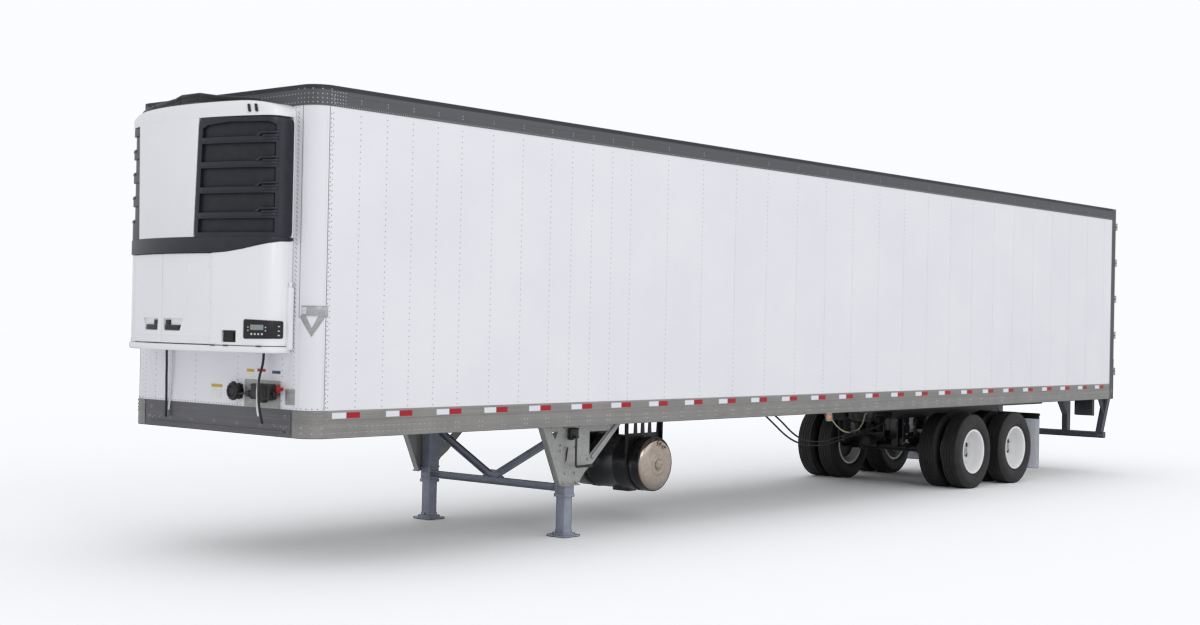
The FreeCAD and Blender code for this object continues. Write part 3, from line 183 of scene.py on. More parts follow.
def drawn_metal(name, light, dark, roughness, stretch=(0.6, 160.0, 160.0), metallic=1.0, lip=None):
    material, tree, surface, place = new_material(name, Metallic=metallic, Roughness=roughness)
    along = add(tree, "ShaderNodeMapping", Vector=place, Scale=stretch).outputs["Vector"]
    grain = noise(tree, along, 1000, 3.0)
    cloud = noise(tree, place, 350, 5.0, 0.65)
    both = add(tree, "ShaderNodeMix", _0=0.45, _2=grain, _3=cloud).outputs[0]
    tint = mixed(tree, ranged(tree, both), dark, light)
    # Painted shade: above the lip's line the tint turns dark grey, for the rolled lip that turns away from the
    # light
    if lip:
        rise = add(tree, "ShaderNodeSeparateXYZ", Vector=place).outputs["Z"]
        tint = mixed(tree, ranged(tree, rise, *lip), tint, "#3f4043")
    dulling = ranged(tree, cloud, To_Min=roughness - 0.08, To_Max=roughness + 0.10)
    tree.links.new(dulling, surface.inputs["Roughness"])
    finish_with(tree, surface, tint, grain, 0.08, 0.001)
    return material


mill_aluminium = drawn_metal("mill finish aluminium", "#a9a7a4", "#858481", 0.42, metallic=0.75)
dark_mill = drawn_metal("weathered mill aluminium", "#7d7d80", "#616165", 0.45, (120.0, 0.8, 120.0), 0.7)
# The top rail's upper band is painted shade, from the lip heights up
top_mill = drawn_metal("dull top rail aluminium", "#6c6d70", "#58595c", 0.50, metallic=0.6,
                       lip=(ROOF_TOP - 0.044, ROOF_TOP - 0.034))
galvanised = drawn_metal("galvanised steel", "#bcbcba", "#949492", 0.42, FINE, 0.55)
polished = drawn_metal("polished spun aluminium", "#cdbfb2", "#a79a8f", 0.20, (40.0, 40.0, 40.0))
rivet_grey = drawn_metal("dull rivet aluminium", "#84858e", "#6b6c76", 0.45, FINE, 0.5)
rivet_bright = drawn_metal("bright rivet aluminium", "#c9c9cc", "#a9a9ad", 0.32, FINE, 0.8)
floor_metal = drawn_metal("extruded floor aluminium", "#c4c5c6", "#a2a3a5", 0.34)
print("metals made")

# %% [markdown]
# Steel under the body is painted: a thick coat, sprayed over welds and mill scale, with a slight orange
# peel. Dust settles on what faces up, which the geometry's normal tells.

# %% Painted steel


def painted_steel(name, light, dark, roughness, peel_mm=3.0, dusty=0.25):
    material, tree, surface, place = new_material(name, Roughness=roughness, Coat_Weight=0.1)
    cloud = noise(tree, place, 180, 5.0, 0.7)
    paint = mixed(tree, ranged(tree, cloud), dark, light)
    normal = add(tree, "ShaderNodeNewGeometry").outputs["Normal"]
    up = add(tree, "ShaderNodeSeparateXYZ", Vector=normal).outputs["Z"]
    level = ranged(tree, up, 0.3, 1.0, To_Max=dusty)
    settled = add(tree, "ShaderNodeMath", {"operation": "MULTIPLY"}, _0=level, _1=cloud).outputs["Value"]
    finish_with(tree, surface, mixed(tree, settled, paint, "#8c8780"), noise(tree, place, peel_mm, 1.0), 0.06,
                0.0006)
    return material


gear_grey = painted_steel("blue grey chassis paint", "#9fa5b4", "#858b9a", 0.42)
guard_grey = painted_steel("dark grey chassis paint", "#4c4f57", "#3b3e45", 0.45)
frame_grey = painted_steel("graphite chassis paint", "#3f4146", "#303236", 0.40)
black_paint_and_hole_shade = painted_steel("black chassis paint", "#18191b", "#0e0f10", 0.42)
tank_black = painted_steel("gloss black tank enamel", "#26272b", "#191a1d", 0.24, dusty=0.12)
cast_grey = painted_steel("cast iron", "#333231", "#242323", 0.6, 1.2)
print("steels made")

# %% [markdown]
# Rubber, moulded plastic, lamp lenses and reflective tape finish the list. A tyre's rubber is matt and
# browns a little; moulded plastic has an even, fine stipple; tape is a prismatic film, brighter than paint.

# %% Rubber, plastic, lenses and tape
LENS = {"IOR": 1.49, "Coat_Weight": 0.6}


def stippled(name, light, dark, roughness, stipple_mm, depth=0.15, **shader):
    material, tree, surface, place = new_material(name, Roughness=roughness, **shader)
    tint = mixed(tree, ranged(tree, noise(tree, place, 90, 4.0)), dark, light)
    finish_with(tree, surface, tint, noise(tree, place, stipple_mm, 2.0), depth, 0.0008)
    return material


def prismatic(name, light, dark):
    """Reflective tape: a film of prisms, drawn at 4 mm so that the sealed pattern shows."""
    material, tree, surface, place = new_material(name, Roughness=0.40, IOR=1.4, Coat_Weight=0.1)
    cells = add(tree, "ShaderNodeTexVoronoi", Vector=place, Scale=1000 / 4).outputs["Distance"]
    finish_with(tree, surface, mixed(tree, ranged(tree, cells, 0.3, 0.9), light, dark))
    return material


tyre_rubber = stippled("tyre rubber", "#282728", "#1a191a", 0.62, 2.0, 0.2, IOR=1.52)
hose_rubber = stippled("hose rubber", "#1d1d1f", "#121213", 0.40, 1.5)
cream_hose = stippled("cream nylon hose", "#d9d6b4", "#c9c6a2", 0.35, 2.0, 0.05)
white_pipe = stippled("white plastic pipe", "#e6e6ea", "#d8d8de", 0.35, 2.0, 0.05)
charcoal = stippled("charcoal moulded plastic", "#252732", "#1e202a", 0.36, 1.2)
lcd = stippled("liquid crystal screen", "#9aa39a", "#8d968d", 0.15, 6.0, 0.02)
screen_black = stippled("black coated mesh", "#22232b", "#17181e", 0.55, 1.0)
flap_white = stippled("white mudflap polymer", "#f6f8ff", "#e9edf8", 0.45, 3.0)
black_plastic = stippled("black moulded plastic", "#1e1e22", "#141417", 0.42, 1.0)
amber_lens = stippled("amber lens", "#f08a24", "#d9701a", 0.12, 6.0, 0.3, **LENS)
red_lens = stippled("red lens", "#b3141c", "#8f0f16", 0.12, 6.0, 0.3, **LENS)
clear_lens = stippled("clear lens", "#e8ecf0", "#c9d0d6", 0.10, 5.0, 0.3, **LENS)
red_paint = stippled("red enamel", "#b5202a", "#98161f", 0.3, 2.0, 0.05)
blue_film = stippled("blue printed film", "#3a4680", "#303a6e", 0.35, 2.0, 0.03)
yellow_film = stippled("yellow printed film", "#d8b83a", "#c9a52c", 0.35, 2.0, 0.03)
label_white = stippled("white printed film", "#f2f2f0", "#e8e8e6", 0.35, 2.0, 0.03)
door_seal = stippled("grey door seal", "#3a3b3e", "#2b2c2e", 0.6, 2.0)
tape_white = prismatic("white reflective tape", "#f4f5fa", "#dfe2ec")
tape_red = prismatic("red reflective tape", "#b80c20", "#960a1a")
print("materials:", len(bpy.data.materials))

# %% [markdown]
# ## Dressing the construction
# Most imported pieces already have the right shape, and only need their finish. A table says which is which.

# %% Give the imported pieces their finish
FINISHES = (
    (white_sheet, "side_walls front_wall front_corner_posts roof left_rear_door right_rear_door"),
    (mill_aluminium, "side_bottom_rails crossmembers"), (dark_mill, "front_bottom_rail"),
    (top_mill, "side_top_rails front_top_rail"), (floor_metal, "floor coils"),
    (guard_grey, "rear_frame rear_impact_guard landing_crank"),
    (galvanised, "rear_frame_hardware left_door_hardware right_door_hardware front_wall_plates hose_clips"),
    (black_plastic, "dock_bumpers lamps"), (frame_grey, "coupler_plate slider_rails"),
    (cast_grey, "kingpin brake_chambers engine_block gladhand_box gladhands"),
    (gear_grey, "landing_legs landing_feet landing_braces"), (tank_black, "fuel_tank"),
    (black_paint_and_hole_shade, "fuel_tank_brackets bogie_frame axles air_reservoirs"), (flap_white, "mudflaps"),
    (hose_rubber, "air_springs air_line_upper air_line_lower drain_hose_left drain_hose_right"),
    (cream_hose, "supply_hose"), (charcoal, "unit_band unit_grille"),
    (unit_shell, "unit_housing unit_control_panel service_door_left service_door_right"),
    (tyre_rubber, "front_left_tyres front_right_tyres rear_left_tyres rear_right_tyres"),
    (wheel_enamel, "front_left_wheels front_right_wheels rear_left_wheels rear_right_wheels"),
)
wanted = {name: finish for finish, names in FINISHES for name in names.split()}
for name, node in nodes.items():
    node.data.materials.clear()
    node.data.materials.append(wanted[name])
print("dressed", len(wanted), "packed pieces")

# %% [markdown]
# ## Camera, floor and light
# The camera stands ahead of the trailer's left front corner, at about eye height, and is set by its place
# and three angles.

# %% Camera
camera_data = bpy.data.cameras.new("camera")
camera_data.lens = 49.6
camera = bpy.data.objects.new("camera", camera_data)
bpy.context.collection.objects.link(camera)
yaw, pitch, roll = (math.radians(angle) for angle in (220.566, 0.387, 1.158))
ahead = Vector((math.cos(pitch) * math.cos(yaw), math.cos(pitch) * math.sin(yaw), math.sin(pitch)))
across = ahead.cross(Vector((0, 0, 1))).normalized()
above = across.cross(ahead)
camera_x = across * math.cos(roll) + above * math.sin(roll)
camera_y = above * math.cos(roll) - across * math.sin(roll)
turn = Matrix((camera_x, camera_y, -ahead)).transposed().to_4x4()
camera.matrix_world = Matrix.Translation((FRONT + 8.914, 12.086, 2.151)) @ turn
bpy.context.scene.camera = camera
print("camera at", [round(v, 2) for v in camera.matrix_world.translation])

# %% [markdown]
# The floor is one pale sheet far larger than the view. It is a shadow catcher: it takes the trailer's
# shadow and otherwise melts into the backdrop, as a studio's paper sweep does. The light is soft, a bright
# even sky with two large panels. The camera sees the sky brighter than it lights, so the background is
# nearly white and the white walls keep their tone.

# %% Floor and light
bm = bmesh.new()
bmesh.ops.create_grid(bm, x_segments=1, y_segments=1, size=120.0)
floor_mesh = bpy.data.meshes.new("studio_floor")
bm.to_mesh(floor_mesh)
bm.free()
studio_floor = bpy.data.objects.new("studio_floor", floor_mesh)
bpy.context.collection.objects.link(studio_floor)
floor_paint, tree, surface, place = new_material("pale studio floor", Roughness=0.85)
surface.inputs["Base Color"].default_value = linear("#f1f1f2")
floor_mesh.materials.append(floor_paint)
studio_floor.is_shadow_catcher = True

SKY_LIGHTS, SKY_SEEN = 0.78, 1.04
world = bpy.data.worlds.new("studio")
bpy.context.scene.world = world
world.use_nodes = True
backdrop = world.node_tree.nodes["Background"]
backdrop.inputs["Color"].default_value = linear("#f7f8fb")
seen = add(world.node_tree, "ShaderNodeLightPath").outputs["Is Camera Ray"]
strength = ranged(world.node_tree, seen, 0.0, 1.0, To_Min=SKY_LIGHTS, To_Max=SKY_SEEN)
world.node_tree.links.new(strength, backdrop.inputs["Strength"])
bpy.context.scene.view_settings.view_transform = "Standard"


def soft_light(name, place, aim, width, power):
    """A square panel of light turned towards a point."""
    data = bpy.data.lights.new(name, "AREA")
    data.shape = "SQUARE"
    data.size = width
    data.energy = power
    lamp = bpy.data.objects.new(name, data)
    lamp.location = place
    lamp.rotation_euler = (Vector(aim) - Vector(place)).to_track_quat("-Z", "Y").to_euler()
    bpy.context.collection.objects.link(lamp)


soft_light("key", (14, 24, 16), (0, 0, 2), 12, 900)
soft_light("fill", (-8, 24, 12), (-2, 0, 1.5), 16, 480)
print("lights set")

# %% [markdown]
# ## Hoses
# Five hoses hang free. Each is a tube of rubber or nylon, so each is one smooth line with a round bevel.
# The points below are the ones that the construction's tubes go round; a NURBS line of order three runs
# close inside them, as a hose does that is held at its ends and sags under its own weight. They come first,
# because if one were the wrong length the construction would have to change.

# %% A hose is one smooth line with a round section


def hang_hose(name, route, diameter, finish):
    curve = bpy.data.curves.new(name, "CURVE")
    curve.dimensions = "3D"
    curve.bevel_depth = diameter / 2
    curve.bevel_resolution = 6
    curve.resolution_u = 12
    curve.use_fill_caps = True
    line = curve.splines.new("NURBS")
    line.points.add(len(route) - 1)
    for point, place in zip(line.points, route):
        point.co = (*place, 1.0)
    line.order_u = 3
    line.use_endpoint_u = True
    curve.materials.append(finish)
    tube = bpy.data.objects.new(name, curve)
    bpy.context.collection.objects.link(tube)
    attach(tube, "trailer")
    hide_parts(name)
    tube.name = name + "_line"


def measured(route, start, turn):
    """A route in millimetres from a start, with each point's first number counted forwards or backwards."""
    return [(start.x + turn * along * MM, left * MM, start.z + rise * MM) for along, left, rise in route]


under_unit, from_front = Vector((SKIN_X, 0, low("unit_housing").z)), Vector((FRONT, 0, 0))
drain_right = measured([(60, -668, 0), (60, -668, -55), (62, -660, -140), (56, -670, -250), (40, -688, -370),
                        (32, -700, -500), (34, -700, -620)], under_unit, 1)
drain_left = measured([(60, 735, 0), (60, 735, -50), (82, 748, -120), (134, 772, -215), (158, 798, -330),
                       (156, 812, -480), (124, 818, -600)], under_unit, 1)
upper_line = measured([
    (7740, 562, 1112), (7790, 562, 1112), (7900, 560, 1062), (8060, 556, 975), (8260, 552, 850), (8470, 548,
                                                                                                  762),
    (8700, 540, 722), (8935, 530, 705), (9170, 522, 715), (9400, 515, 748), (9630, 508, 776), (9860, 502, 800),
    (10090, 498, 822), (10320, 495, 842), (10500, 492, 872), (10610, 490, 925), (10680, 488, 985),
    (10740, 488, 985)], from_front, -1)
lower_line = measured([
    (7740, 420, 1112), (7790, 420, 1112), (7895, 424, 1050), (8060, 430, 950), (8260, 438, 822), (8470, 442,
                                                                                                  728),
    (8700, 445, 672), (8935, 446, 650), (9170, 446, 652), (9400, 446, 676), (9630, 445, 712), (9860, 446, 748),
    (10090, 448, 780), (10320, 450, 806), (10500, 451, 842), (10610, 452, 905), (10680, 452, 968),
    (10740, 452, 968)], from_front, -1)
cream_line = measured([
    (9265, 340, 1112), (9310, 340, 1112), (9400, 342, 1045), (9510, 344, 955), (9640, 346, 858), (9800, 348,
                                                                                                  790),
    (9980, 348, 768), (10150, 348, 800), (10250, 347, 870), (10300, 346, 950), (10325, 344, 1013),
    (10370, 344, 1013)], from_front, -1)
hang_hose("drain_hose_right", drain_right, 0.022, hose_rubber)
hang_hose("drain_hose_left", drain_left, 0.022, hose_rubber)
hang_hose("air_line_upper", upper_line, 0.016, hose_rubber)
hang_hose("air_line_lower", lower_line, 0.016, hose_rubber)
hang_hose("supply_hose", cream_line, 0.016, cream_hose)
print("hoses hung:", 5)

# %% [markdown]
# ## Ways to shape a piece
# Nearly everything here is folded plate, bar, tube or a turned part, so a few helpers go a long way. Each
# puts one shape into a bmesh with Blender's own operators: a cube for a block, a cone for a bar, an outline
# pushed out for a plate, a half section spun round an axis for a turned part. Two rules keep the calls
# short: a block may be given by any two opposite corners, and a stud is a bar given by its foot and the way
# it sticks out.

# %% Blocks, bars, plates and turned parts


def whole(bm):
    return bm.verts[:] + bm.edges[:] + bm.faces[:]


def new_verts(made):
    """The corners that an operator made."""
    return [v for v in made["geom"] if isinstance(v, bmesh.types.BMVert)]


def cut(bm, at, facing):
    """Cut every face along a plane, and leave both sides."""
    bmesh.ops.bisect_plane(bm, geom=whole(bm), dist=1e-6, plane_co=at, plane_no=facing)


def soften(bm, edges, width, segments=2):
    """Round some edges."""
    bmesh.ops.bevel(bm, geom=list(edges), offset=width, segments=segments, affect="EDGES", profile=0.5,
                    material=-1, clamp_overlap=True)


def push_out(bm, faces, way):
    """Push faces out, with walls behind them, and give the corners that moved."""
    pushed = new_verts(bmesh.ops.extrude_face_region(bm, geom=faces))
    bmesh.ops.translate(bm, vec=Vector(way), verts=pushed)
    return pushed


def block(bm, one, other, edge=0.0, segments=2):
    """A block between two opposite corners, with its edges rounded."""
    lowest, highest = (Vector(map(pick, one, other)) for pick in (min, max))
    place = Matrix.Translation((lowest + highest) / 2) @ Matrix.Diagonal((*(highest - lowest), 1.0))
    made = bmesh.ops.create_cube(bm, size=1.0, matrix=place)
    if edge:
        soften(bm, {e for v in made["verts"] for e in v.link_edges}, edge, segments)


def bar(bm, start, end, radius, sides=20, edge=0.0):
    """A round bar from one point to another, with its end edges rounded."""
    start, end = Vector(start), Vector(end)
    place = Matrix.Translation((start + end) / 2) @ (end - start).to_track_quat("Z", "Y").to_matrix().to_4x4()
    made = bmesh.ops.create_cone(bm, cap_ends=True, segments=sides, radius1=radius, radius2=radius,
                                 depth=(end - start).length, matrix=place)
    if edge:
        rims = {e for v in made["verts"] for e in v.link_edges
                if any(len(f.verts) == sides for f in e.link_faces)}
        soften(bm, rims, edge)


def stud(bm, foot, out, radius, sides=6, edge=0.001):
    """A bar from its foot outwards; with six sides it is a bolt's head."""
    bar(bm, foot, Vector(foot) + Vector(out), radius, sides, edge)


def ball(bm, place, radius, around=16):
    bmesh.ops.create_uvsphere(bm, u_segments=around, v_segments=around // 2, radius=radius,
                              matrix=Matrix.Translation(place))


def plate(bm, corners, push, edge=0.0, corner=0.0):
    """A flat outline pushed out into a plate. Its corners are rounded by `corner`, its edges by `edge`."""
    verts = [bm.verts.new(place) for place in corners]
    face = bm.faces.new(verts)
    if corner:
        made = bmesh.ops.bevel(bm, geom=verts, offset=corner, segments=5, affect="VERTICES", profile=0.5,
                               material=-1, clamp_overlap=True)
        face = max({f for v in made["verts"] for f in v.link_faces}, key=lambda f: f.calc_area())
    pushed = push_out(bm, [face], push)
    if edge:
        soften(bm, {e for v in pushed for e in v.link_edges if e.other_vert(v) in pushed}, edge)


def spun(bm, section, centre, axis, sides=64):
    """A half section, (radius, along the axis), spun once round. One that closes makes a ring."""
    axis = Vector(axis).normalized()
    out = axis.orthogonal().normalized()
    verts = [bm.verts.new(Vector(centre) + out * radius + axis * along) for radius, along in section]
    edges = [bm.edges.new(pair) for pair in zip(verts, verts[1:])]
    if section[0] == section[-1]:
        bmesh.ops.remove_doubles(bm, verts=verts, dist=1e-6)
        edges = [e for e in edges if e.is_valid]
        verts = [v for v in verts if v.is_valid]
    bmesh.ops.spin(bm, geom=verts + edges, cent=centre, axis=axis, angle=math.tau, steps=sides, use_merge=True,
                   dvec=(0, 0, 0))
    bmesh.ops.remove_doubles(bm, verts=bm.verts, dist=1e-6)


def repeat(bm, step, count):
    """Copies of all that a bmesh holds so far, each one step further on."""
    unit = whole(bm)
    for index in range(1, count):
        made = bmesh.ops.duplicate(bm, geom=unit)
        bmesh.ops.translate(bm, vec=Vector(step) * index, verts=new_verts(made))


def gather(bm, other):
    """Move one bmesh's shapes into another."""
    carrier = bpy.data.meshes.new("carrier")
    other.to_mesh(carrier)
    other.free()
    bm.from_mesh(carrier)
    bpy.data.meshes.remove(carrier)


def box_outline(left, right, bottom, top):
    """The four corners of an upright rectangle, (across, height)."""
    return [(left, bottom), (right, bottom), (right, top), (left, top)]


def piece(name, bm, finish, slot, body="trailer", smooth=35, stands_for=(), turn_out=True):
    """Make a bmesh an object with its finish, riding on its body."""
    if turn_out:
        bmesh.ops.recalc_face_normals(bm, faces=bm.faces)
    mesh = bpy.data.meshes.new(name)
    bm.to_mesh(mesh)
    bm.free()
    mesh.shade_smooth()
    mesh.set_sharp_from_angle(angle=math.radians(smooth))
    for material in (finish if isinstance(finish, (list, tuple)) else [finish]):
        mesh.materials.append(material)
    made = bpy.data.objects.new(name, mesh)
    bpy.context.collection.objects.link(made)
    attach(made, body)
    if stands_for:
        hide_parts(*stands_for)
    return made


print("helpers ready")

# %% [markdown]
# ## Rivets
# The body is riveted: posts behind the side sheets take a rivet every two inches, and the rails one every
# inch. Each rivet is a shallow button head. There are thousands, so a head has few faces: an eight sided
# cone with its tip cut off. One is made, repeated up a post, and the post's row repeated along the wall.

# %% A rivet head, and rows of them


def rivet_rows(bm, place, facing, rows, radius=0.0052, height=0.0022, sides=8):
    """One head at a place, facing out of its wall, repeated by each (step, count) in turn."""
    head = bmesh.new()
    bmesh.ops.create_cone(head, cap_ends=True, segments=sides, radius1=radius, radius2=radius * 0.5,
                          depth=height,
                          matrix=Matrix.Translation((0, 0, height / 2)))
    bmesh.ops.delete(head, geom=[f for f in head.faces if f.calc_center_median().z < 1e-5],
                     context="FACES_ONLY")
    turn = Vector(facing).to_track_quat("Z", "Y").to_matrix().to_4x4()
    bmesh.ops.transform(head, matrix=Matrix.Translation(place) @ turn, verts=head.verts)
    for step, count in rows:
        repeat(head, step, count)
    gather(bm, head)


AHEAD, BACK = (1, 0, 0), (-1, 0, 0)
UP = 2 * INCH
POST_LOW = RAIL_TOP + 0.024
POST_COUNT = int((COVE - POST_LOW - 0.02) / UP) + 1
# Post lines behind the side seam, in inches: (first, spacing, how many)
POSTS = ((0, 12, 6), (76, 16, 3), (120, 12, 4), (180, 24, 19))
LINE_X = SEAM_X - 0.010
for side, name in SIDES:
    wall, rails = bmesh.new(), bmesh.new()
    along = ((-INCH, 0, 0), int((LINE_X - FRAME_X) / INCH))
    rivet_rows(rails, (LINE_X, side * RAIL_Y, COVE + 0.012), (0, side, 0), [along], 0.0045)
    rivet_rows(rails, (LINE_X, side * (RAIL_Y - 0.0015), RAIL_TOP - 0.010), (0, side, 0), [along], 0.0045)
    for first, pitch, count in POSTS:
        x, posts = LINE_X - first * INCH, ((-pitch * INCH, 0, 0), count)
        rivet_rows(wall, (x, side * SKIN_Y, POST_LOW), (0, side, 0), [((0, 0, UP), POST_COUNT), posts])
        rivet_rows(rails, (x, side * RAIL_Y, COVE + 0.052), (0, side, 0), [((0, 0, 0.026), 2), posts], 0.0055)
    # Behind the corner the top rail's casting is fastened in four rows
    rivet_rows(rails, (SEAM_X + 0.012, side * RAIL_Y, COVE + 0.032), (0, side, 0),
               [((0, 0, 0.030), 4), ((-0.030, 0, 0), 6)], 0.0055)
    print(name, "wall rivets, faces:", len(wall.faces))
    piece(f"{name}_wall_rivets", wall, rivet_grey, "rail_aluminium", turn_out=False)
    piece(f"{name}_rail_rivets", rails, rivet_bright, "rail_aluminium", turn_out=False)

# %% [markdown]
# The bottom rail carries the floor: pairs of bolts go through it into the end of every crossmember, so a
# square of four heads shows every twelve inches. Near the front the coupler's frame takes a closer row.

# %% Bolts along the bottom rails
BOLT_Z = RAIL_LOW + 0.048
MEMBERS = int((FRONT - 1.62 - FRAME_X) / (12 * INCH))
for side, name in SIDES:
    bolts = bmesh.new()
    rivet_rows(bolts, (FRONT - 1.70, side * RAIL_Y, BOLT_Z), (0, side, 0),
               [((0, 0, 0.044), 2), ((-0.042, 0, 0), 2), ((-12 * INCH, 0, 0), MEMBERS)], 0.0085, 0.0045, 10)
    rivet_rows(bolts, (FRONT - 0.26, side * RAIL_Y, BOLT_Z - 0.006), (0, side, 0),
               [((0, 0, 0.052), 2), ((-0.062, 0, 0), 22)], 0.0070, 0.0040)
    piece(f"{name}_rail_bolts", bolts, rivet_bright, "rail_aluminium", turn_out=False)
print("bolt groups:", MEMBERS)

# %% [markdown]
# Law asks for red and white reflective tape along at least half of each side. It is a film two inches tall,
# put on in strips of red and white with a gap between, and it follows the rail's upper band.

# %% Reflective tape
TAPES = ((tape_white, "white"), (tape_red, "red"))
for side, name in SIDES:
    for (finish, colour), after, length in zip(TAPES, (0.0, 0.159), (0.157, 0.152)):
        film = bmesh.new()
        first, face_y = FRONT - 0.239 - after, side * (RAIL_Y - 0.0015)
        block(film, (first, face_y, RAIL_TOP - 0.069), (first - length, face_y + side * 0.0004,
                                                        RAIL_TOP - 0.019))
        repeat(film, (-0.61, 0, 0), 26)
        piece(f"{name}_{colour}_tape", film, finish, "lamp_plastic")
print("tape strips per side:", 52)

# %% [markdown]
# ## The refrigeration unit
# Its covers are moulded composite panels with a bowed front and rounded corners. Modelling each one bent
# would be hard to keep true, so every panel is first made flat: X is the height above the skin, Y the way
# round the face from its middle, and Z the height above the ground. Then one function cuts the flat shape
# into narrow strips and lays it round the plan's line: a wide arc, a tight corner, and a straight flank
# back to the wall.

# %% Lay a flat design round the unit
FACE_R, BEND_R, NOSE, HALF_WIDE = 2.520, 0.140, 0.445, 1.030
UNIT_X0 = FRONT + NOSE - FACE_R
BEND_Y = HALF_WIDE - BEND_R
BEND_X = UNIT_X0 + math.sqrt((FACE_R - BEND_R) ** 2 - BEND_Y ** 2)
FACE_TURN = math.asin(BEND_Y / (FACE_R - BEND_R))
FACE_END = FACE_R * FACE_TURN
BEND_END = FACE_END + BEND_R * (math.pi / 2 - FACE_TURN)
FLANK_END = BEND_END + BEND_X - FRONT
Z_LOW = low("unit_housing").z
Z_DOOR, Z_BAND, Z_UPPER, Z_HOOD, Z_TOP = (Z_LOW + rise for rise in (0.060, 0.845, 0.975, 1.995, 2.135))


def girth(y):
    """How far round the face from its middle a width is."""
    return FACE_R * math.asin(y / FACE_R)


def face_x(y, inset=0.0):
    """How far forward the bowed face is at a width, less an inset."""
    return UNIT_X0 + math.sqrt((FACE_R - inset) ** 2 - y * y)


def lay_round(bm):
    """Bend a flat design onto the unit."""
    cuts = [0.07 * index for index in range(1, 14)] + [FACE_END + 0.0166 * index for index in range(0, 11)]
    for way in [0.0] + cuts + [-way for way in cuts]:
        if min(v.co.y for v in bm.verts) < way < max(v.co.y for v in bm.verts):
            cut(bm, (0, way, 0), (0, 1, 0))
    for vert in bm.verts:
        out, way, rise = vert.co
        far, side = abs(way), math.copysign(1, way)
        if far <= FACE_END:
            turn, start, radius = way / FACE_R, Vector((UNIT_X0, 0, rise)), FACE_R
        elif far <= BEND_END:
            turn = side * (FACE_TURN + (far - FACE_END) / BEND_R)
            start, radius = Vector((BEND_X, side * BEND_Y, rise)), BEND_R
        else:
            vert.co = (BEND_X - (far - BEND_END), side * (HALF_WIDE + out), rise)
            continue
        vert.co = start + Vector((math.cos(turn), math.sin(turn), 0)) * (radius + out)


def panel(bm, corners, outer, thick, edge=0.006, corner=0.0):
    """A flat panel: (way round, height) corners, its outer skin's height, and its thickness inwards."""
    plate(bm, [(outer - thick, way, rise) for way, rise in corners], (thick, 0, 0), edge, corner)


def cut_outline(bm, corners, push):
    """Cut faces along the sides of a convex outline, and say how to tell what is inside it."""
    centre = sum((Vector(place) for place in corners), Vector()) / len(corners)
    planes = []
    for start, end in zip(corners, corners[1:] + corners[:1]):
        inward = Vector(push).cross(Vector(end) - Vector(start)).normalized()
        if inward.dot(centre - Vector(start)) < 0:
            inward = -inward
        planes.append((Vector(start), inward))
        cut(bm, start, inward)
    return lambda face: all((face.calc_center_median() - at).dot(inward) > 0 for at, inward in planes)


def sink(bm, corners, outer, depth):
    """Sink a hollow with these corners into the outer skin of a flat panel."""
    inside = cut_outline(bm, [(outer, way, rise) for way, rise in corners], (1, 0, 0))
    patch = [f for f in bm.faces if abs(f.calc_center_median().x - outer) < 1e-5 and inside(f)]
    push_out(bm, patch, (-depth, 0, 0))
    bmesh.ops.delete(bm, geom=[f for f in patch if f.is_valid], context="FACES")


def cover(name, bm, finish=unit_shell, slot="unit_white", **more):
    """Bend a flat design onto the unit, and make it a piece."""
    lay_round(bm)
    piece(name, bm, finish, slot, **more)


print("unit girth:", round(FLANK_END, 3), "each way; heights", [round(z, 3) for z in (Z_LOW, Z_TOP)])

# %% [markdown]
# The hood and the white upper panel are one moulding. Its front is flat up to the crown and then rolls back
# over the top, lower at the corners than in the middle. It is a sheet pushed round the whole girth: the
# section is an outline in height and depth, so the sheet's thickness and its rolled edge come from one
# shape.

# %% Hood and upper panel
GRILLE_LEFT_TOP, GRILLE_LEFT_LOW = girth(0.268), girth(0.226)
LOUVRE_RIGHT_TOP, LOUVRE_RIGHT_LOW = -girth(0.765), -girth(0.716)
shell, hood = bmesh.new(), bmesh.new()
panel(shell, [(LOUVRE_RIGHT_LOW, Z_UPPER + 0.004), (GRILLE_LEFT_LOW - 0.004, Z_UPPER + 0.004),
              (GRILLE_LEFT_TOP - 0.004, Z_HOOD + 0.020), (LOUVRE_RIGHT_TOP,
                                                          Z_HOOD + 0.020)], -0.0005, 0.027, 0.004)
lay_round(shell)
roll = [(0.0, Z_HOOD + 0.002), (0.0, Z_TOP - 0.062), (-0.006, Z_TOP - 0.034), (-0.020, Z_TOP - 0.014),
        (-0.045, Z_TOP - 0.003), (-0.075, Z_TOP), (-0.105, Z_TOP), (-0.105, Z_TOP - 0.02),
        (-0.030, Z_HOOD + 0.03), (-0.030, Z_HOOD + 0.002)]
plate(hood, [(out, -FLANK_END, rise) for out, rise in roll], (0, 2 * FLANK_END, 0))
lay_round(hood)
gather(shell, hood)


def corner_drop(y):
    """How far the hood's top is below its middle, this far from the centre line."""
    return 0.055 * (max(0.0, abs(y) - 0.68) / 0.35) ** 2


for vert in shell.verts:
    if vert.co.z > Z_HOOD + 0.03:
        vert.co.z -= corner_drop(vert.co.y) * (vert.co.z - Z_HOOD - 0.03) / 0.11
piece("unit_hood", shell, unit_shell, "unit_white", smooth=40, stands_for=("unit_housing",))


def plan_line(inset, square, widths):
    """The unit's plan as (forward, across) points, a little inside its covers."""
    edge = HALF_WIDE - inset
    bowed = [(face_x(y, inset), y) for y in widths]
    return [(FRONT, -edge), (BEND_X - square, -edge)] + bowed + [(BEND_X - square, edge), (FRONT, edge)]


top = bmesh.new()
face = top.faces.new([top.verts.new((x, y, Z_TOP - 0.008 - corner_drop(y)))
                      for x, y in plan_line(0.10, 0.01, (-0.85, -0.6, -0.3, 0, 0.3, 0.6, 0.85))])
bmesh.ops.triangulate(top, faces=[face])
push_out(top, top.faces[:], (0, 0, -0.012))
piece("unit_hood_top", top, unit_shell, "unit_white")
print("hood made")

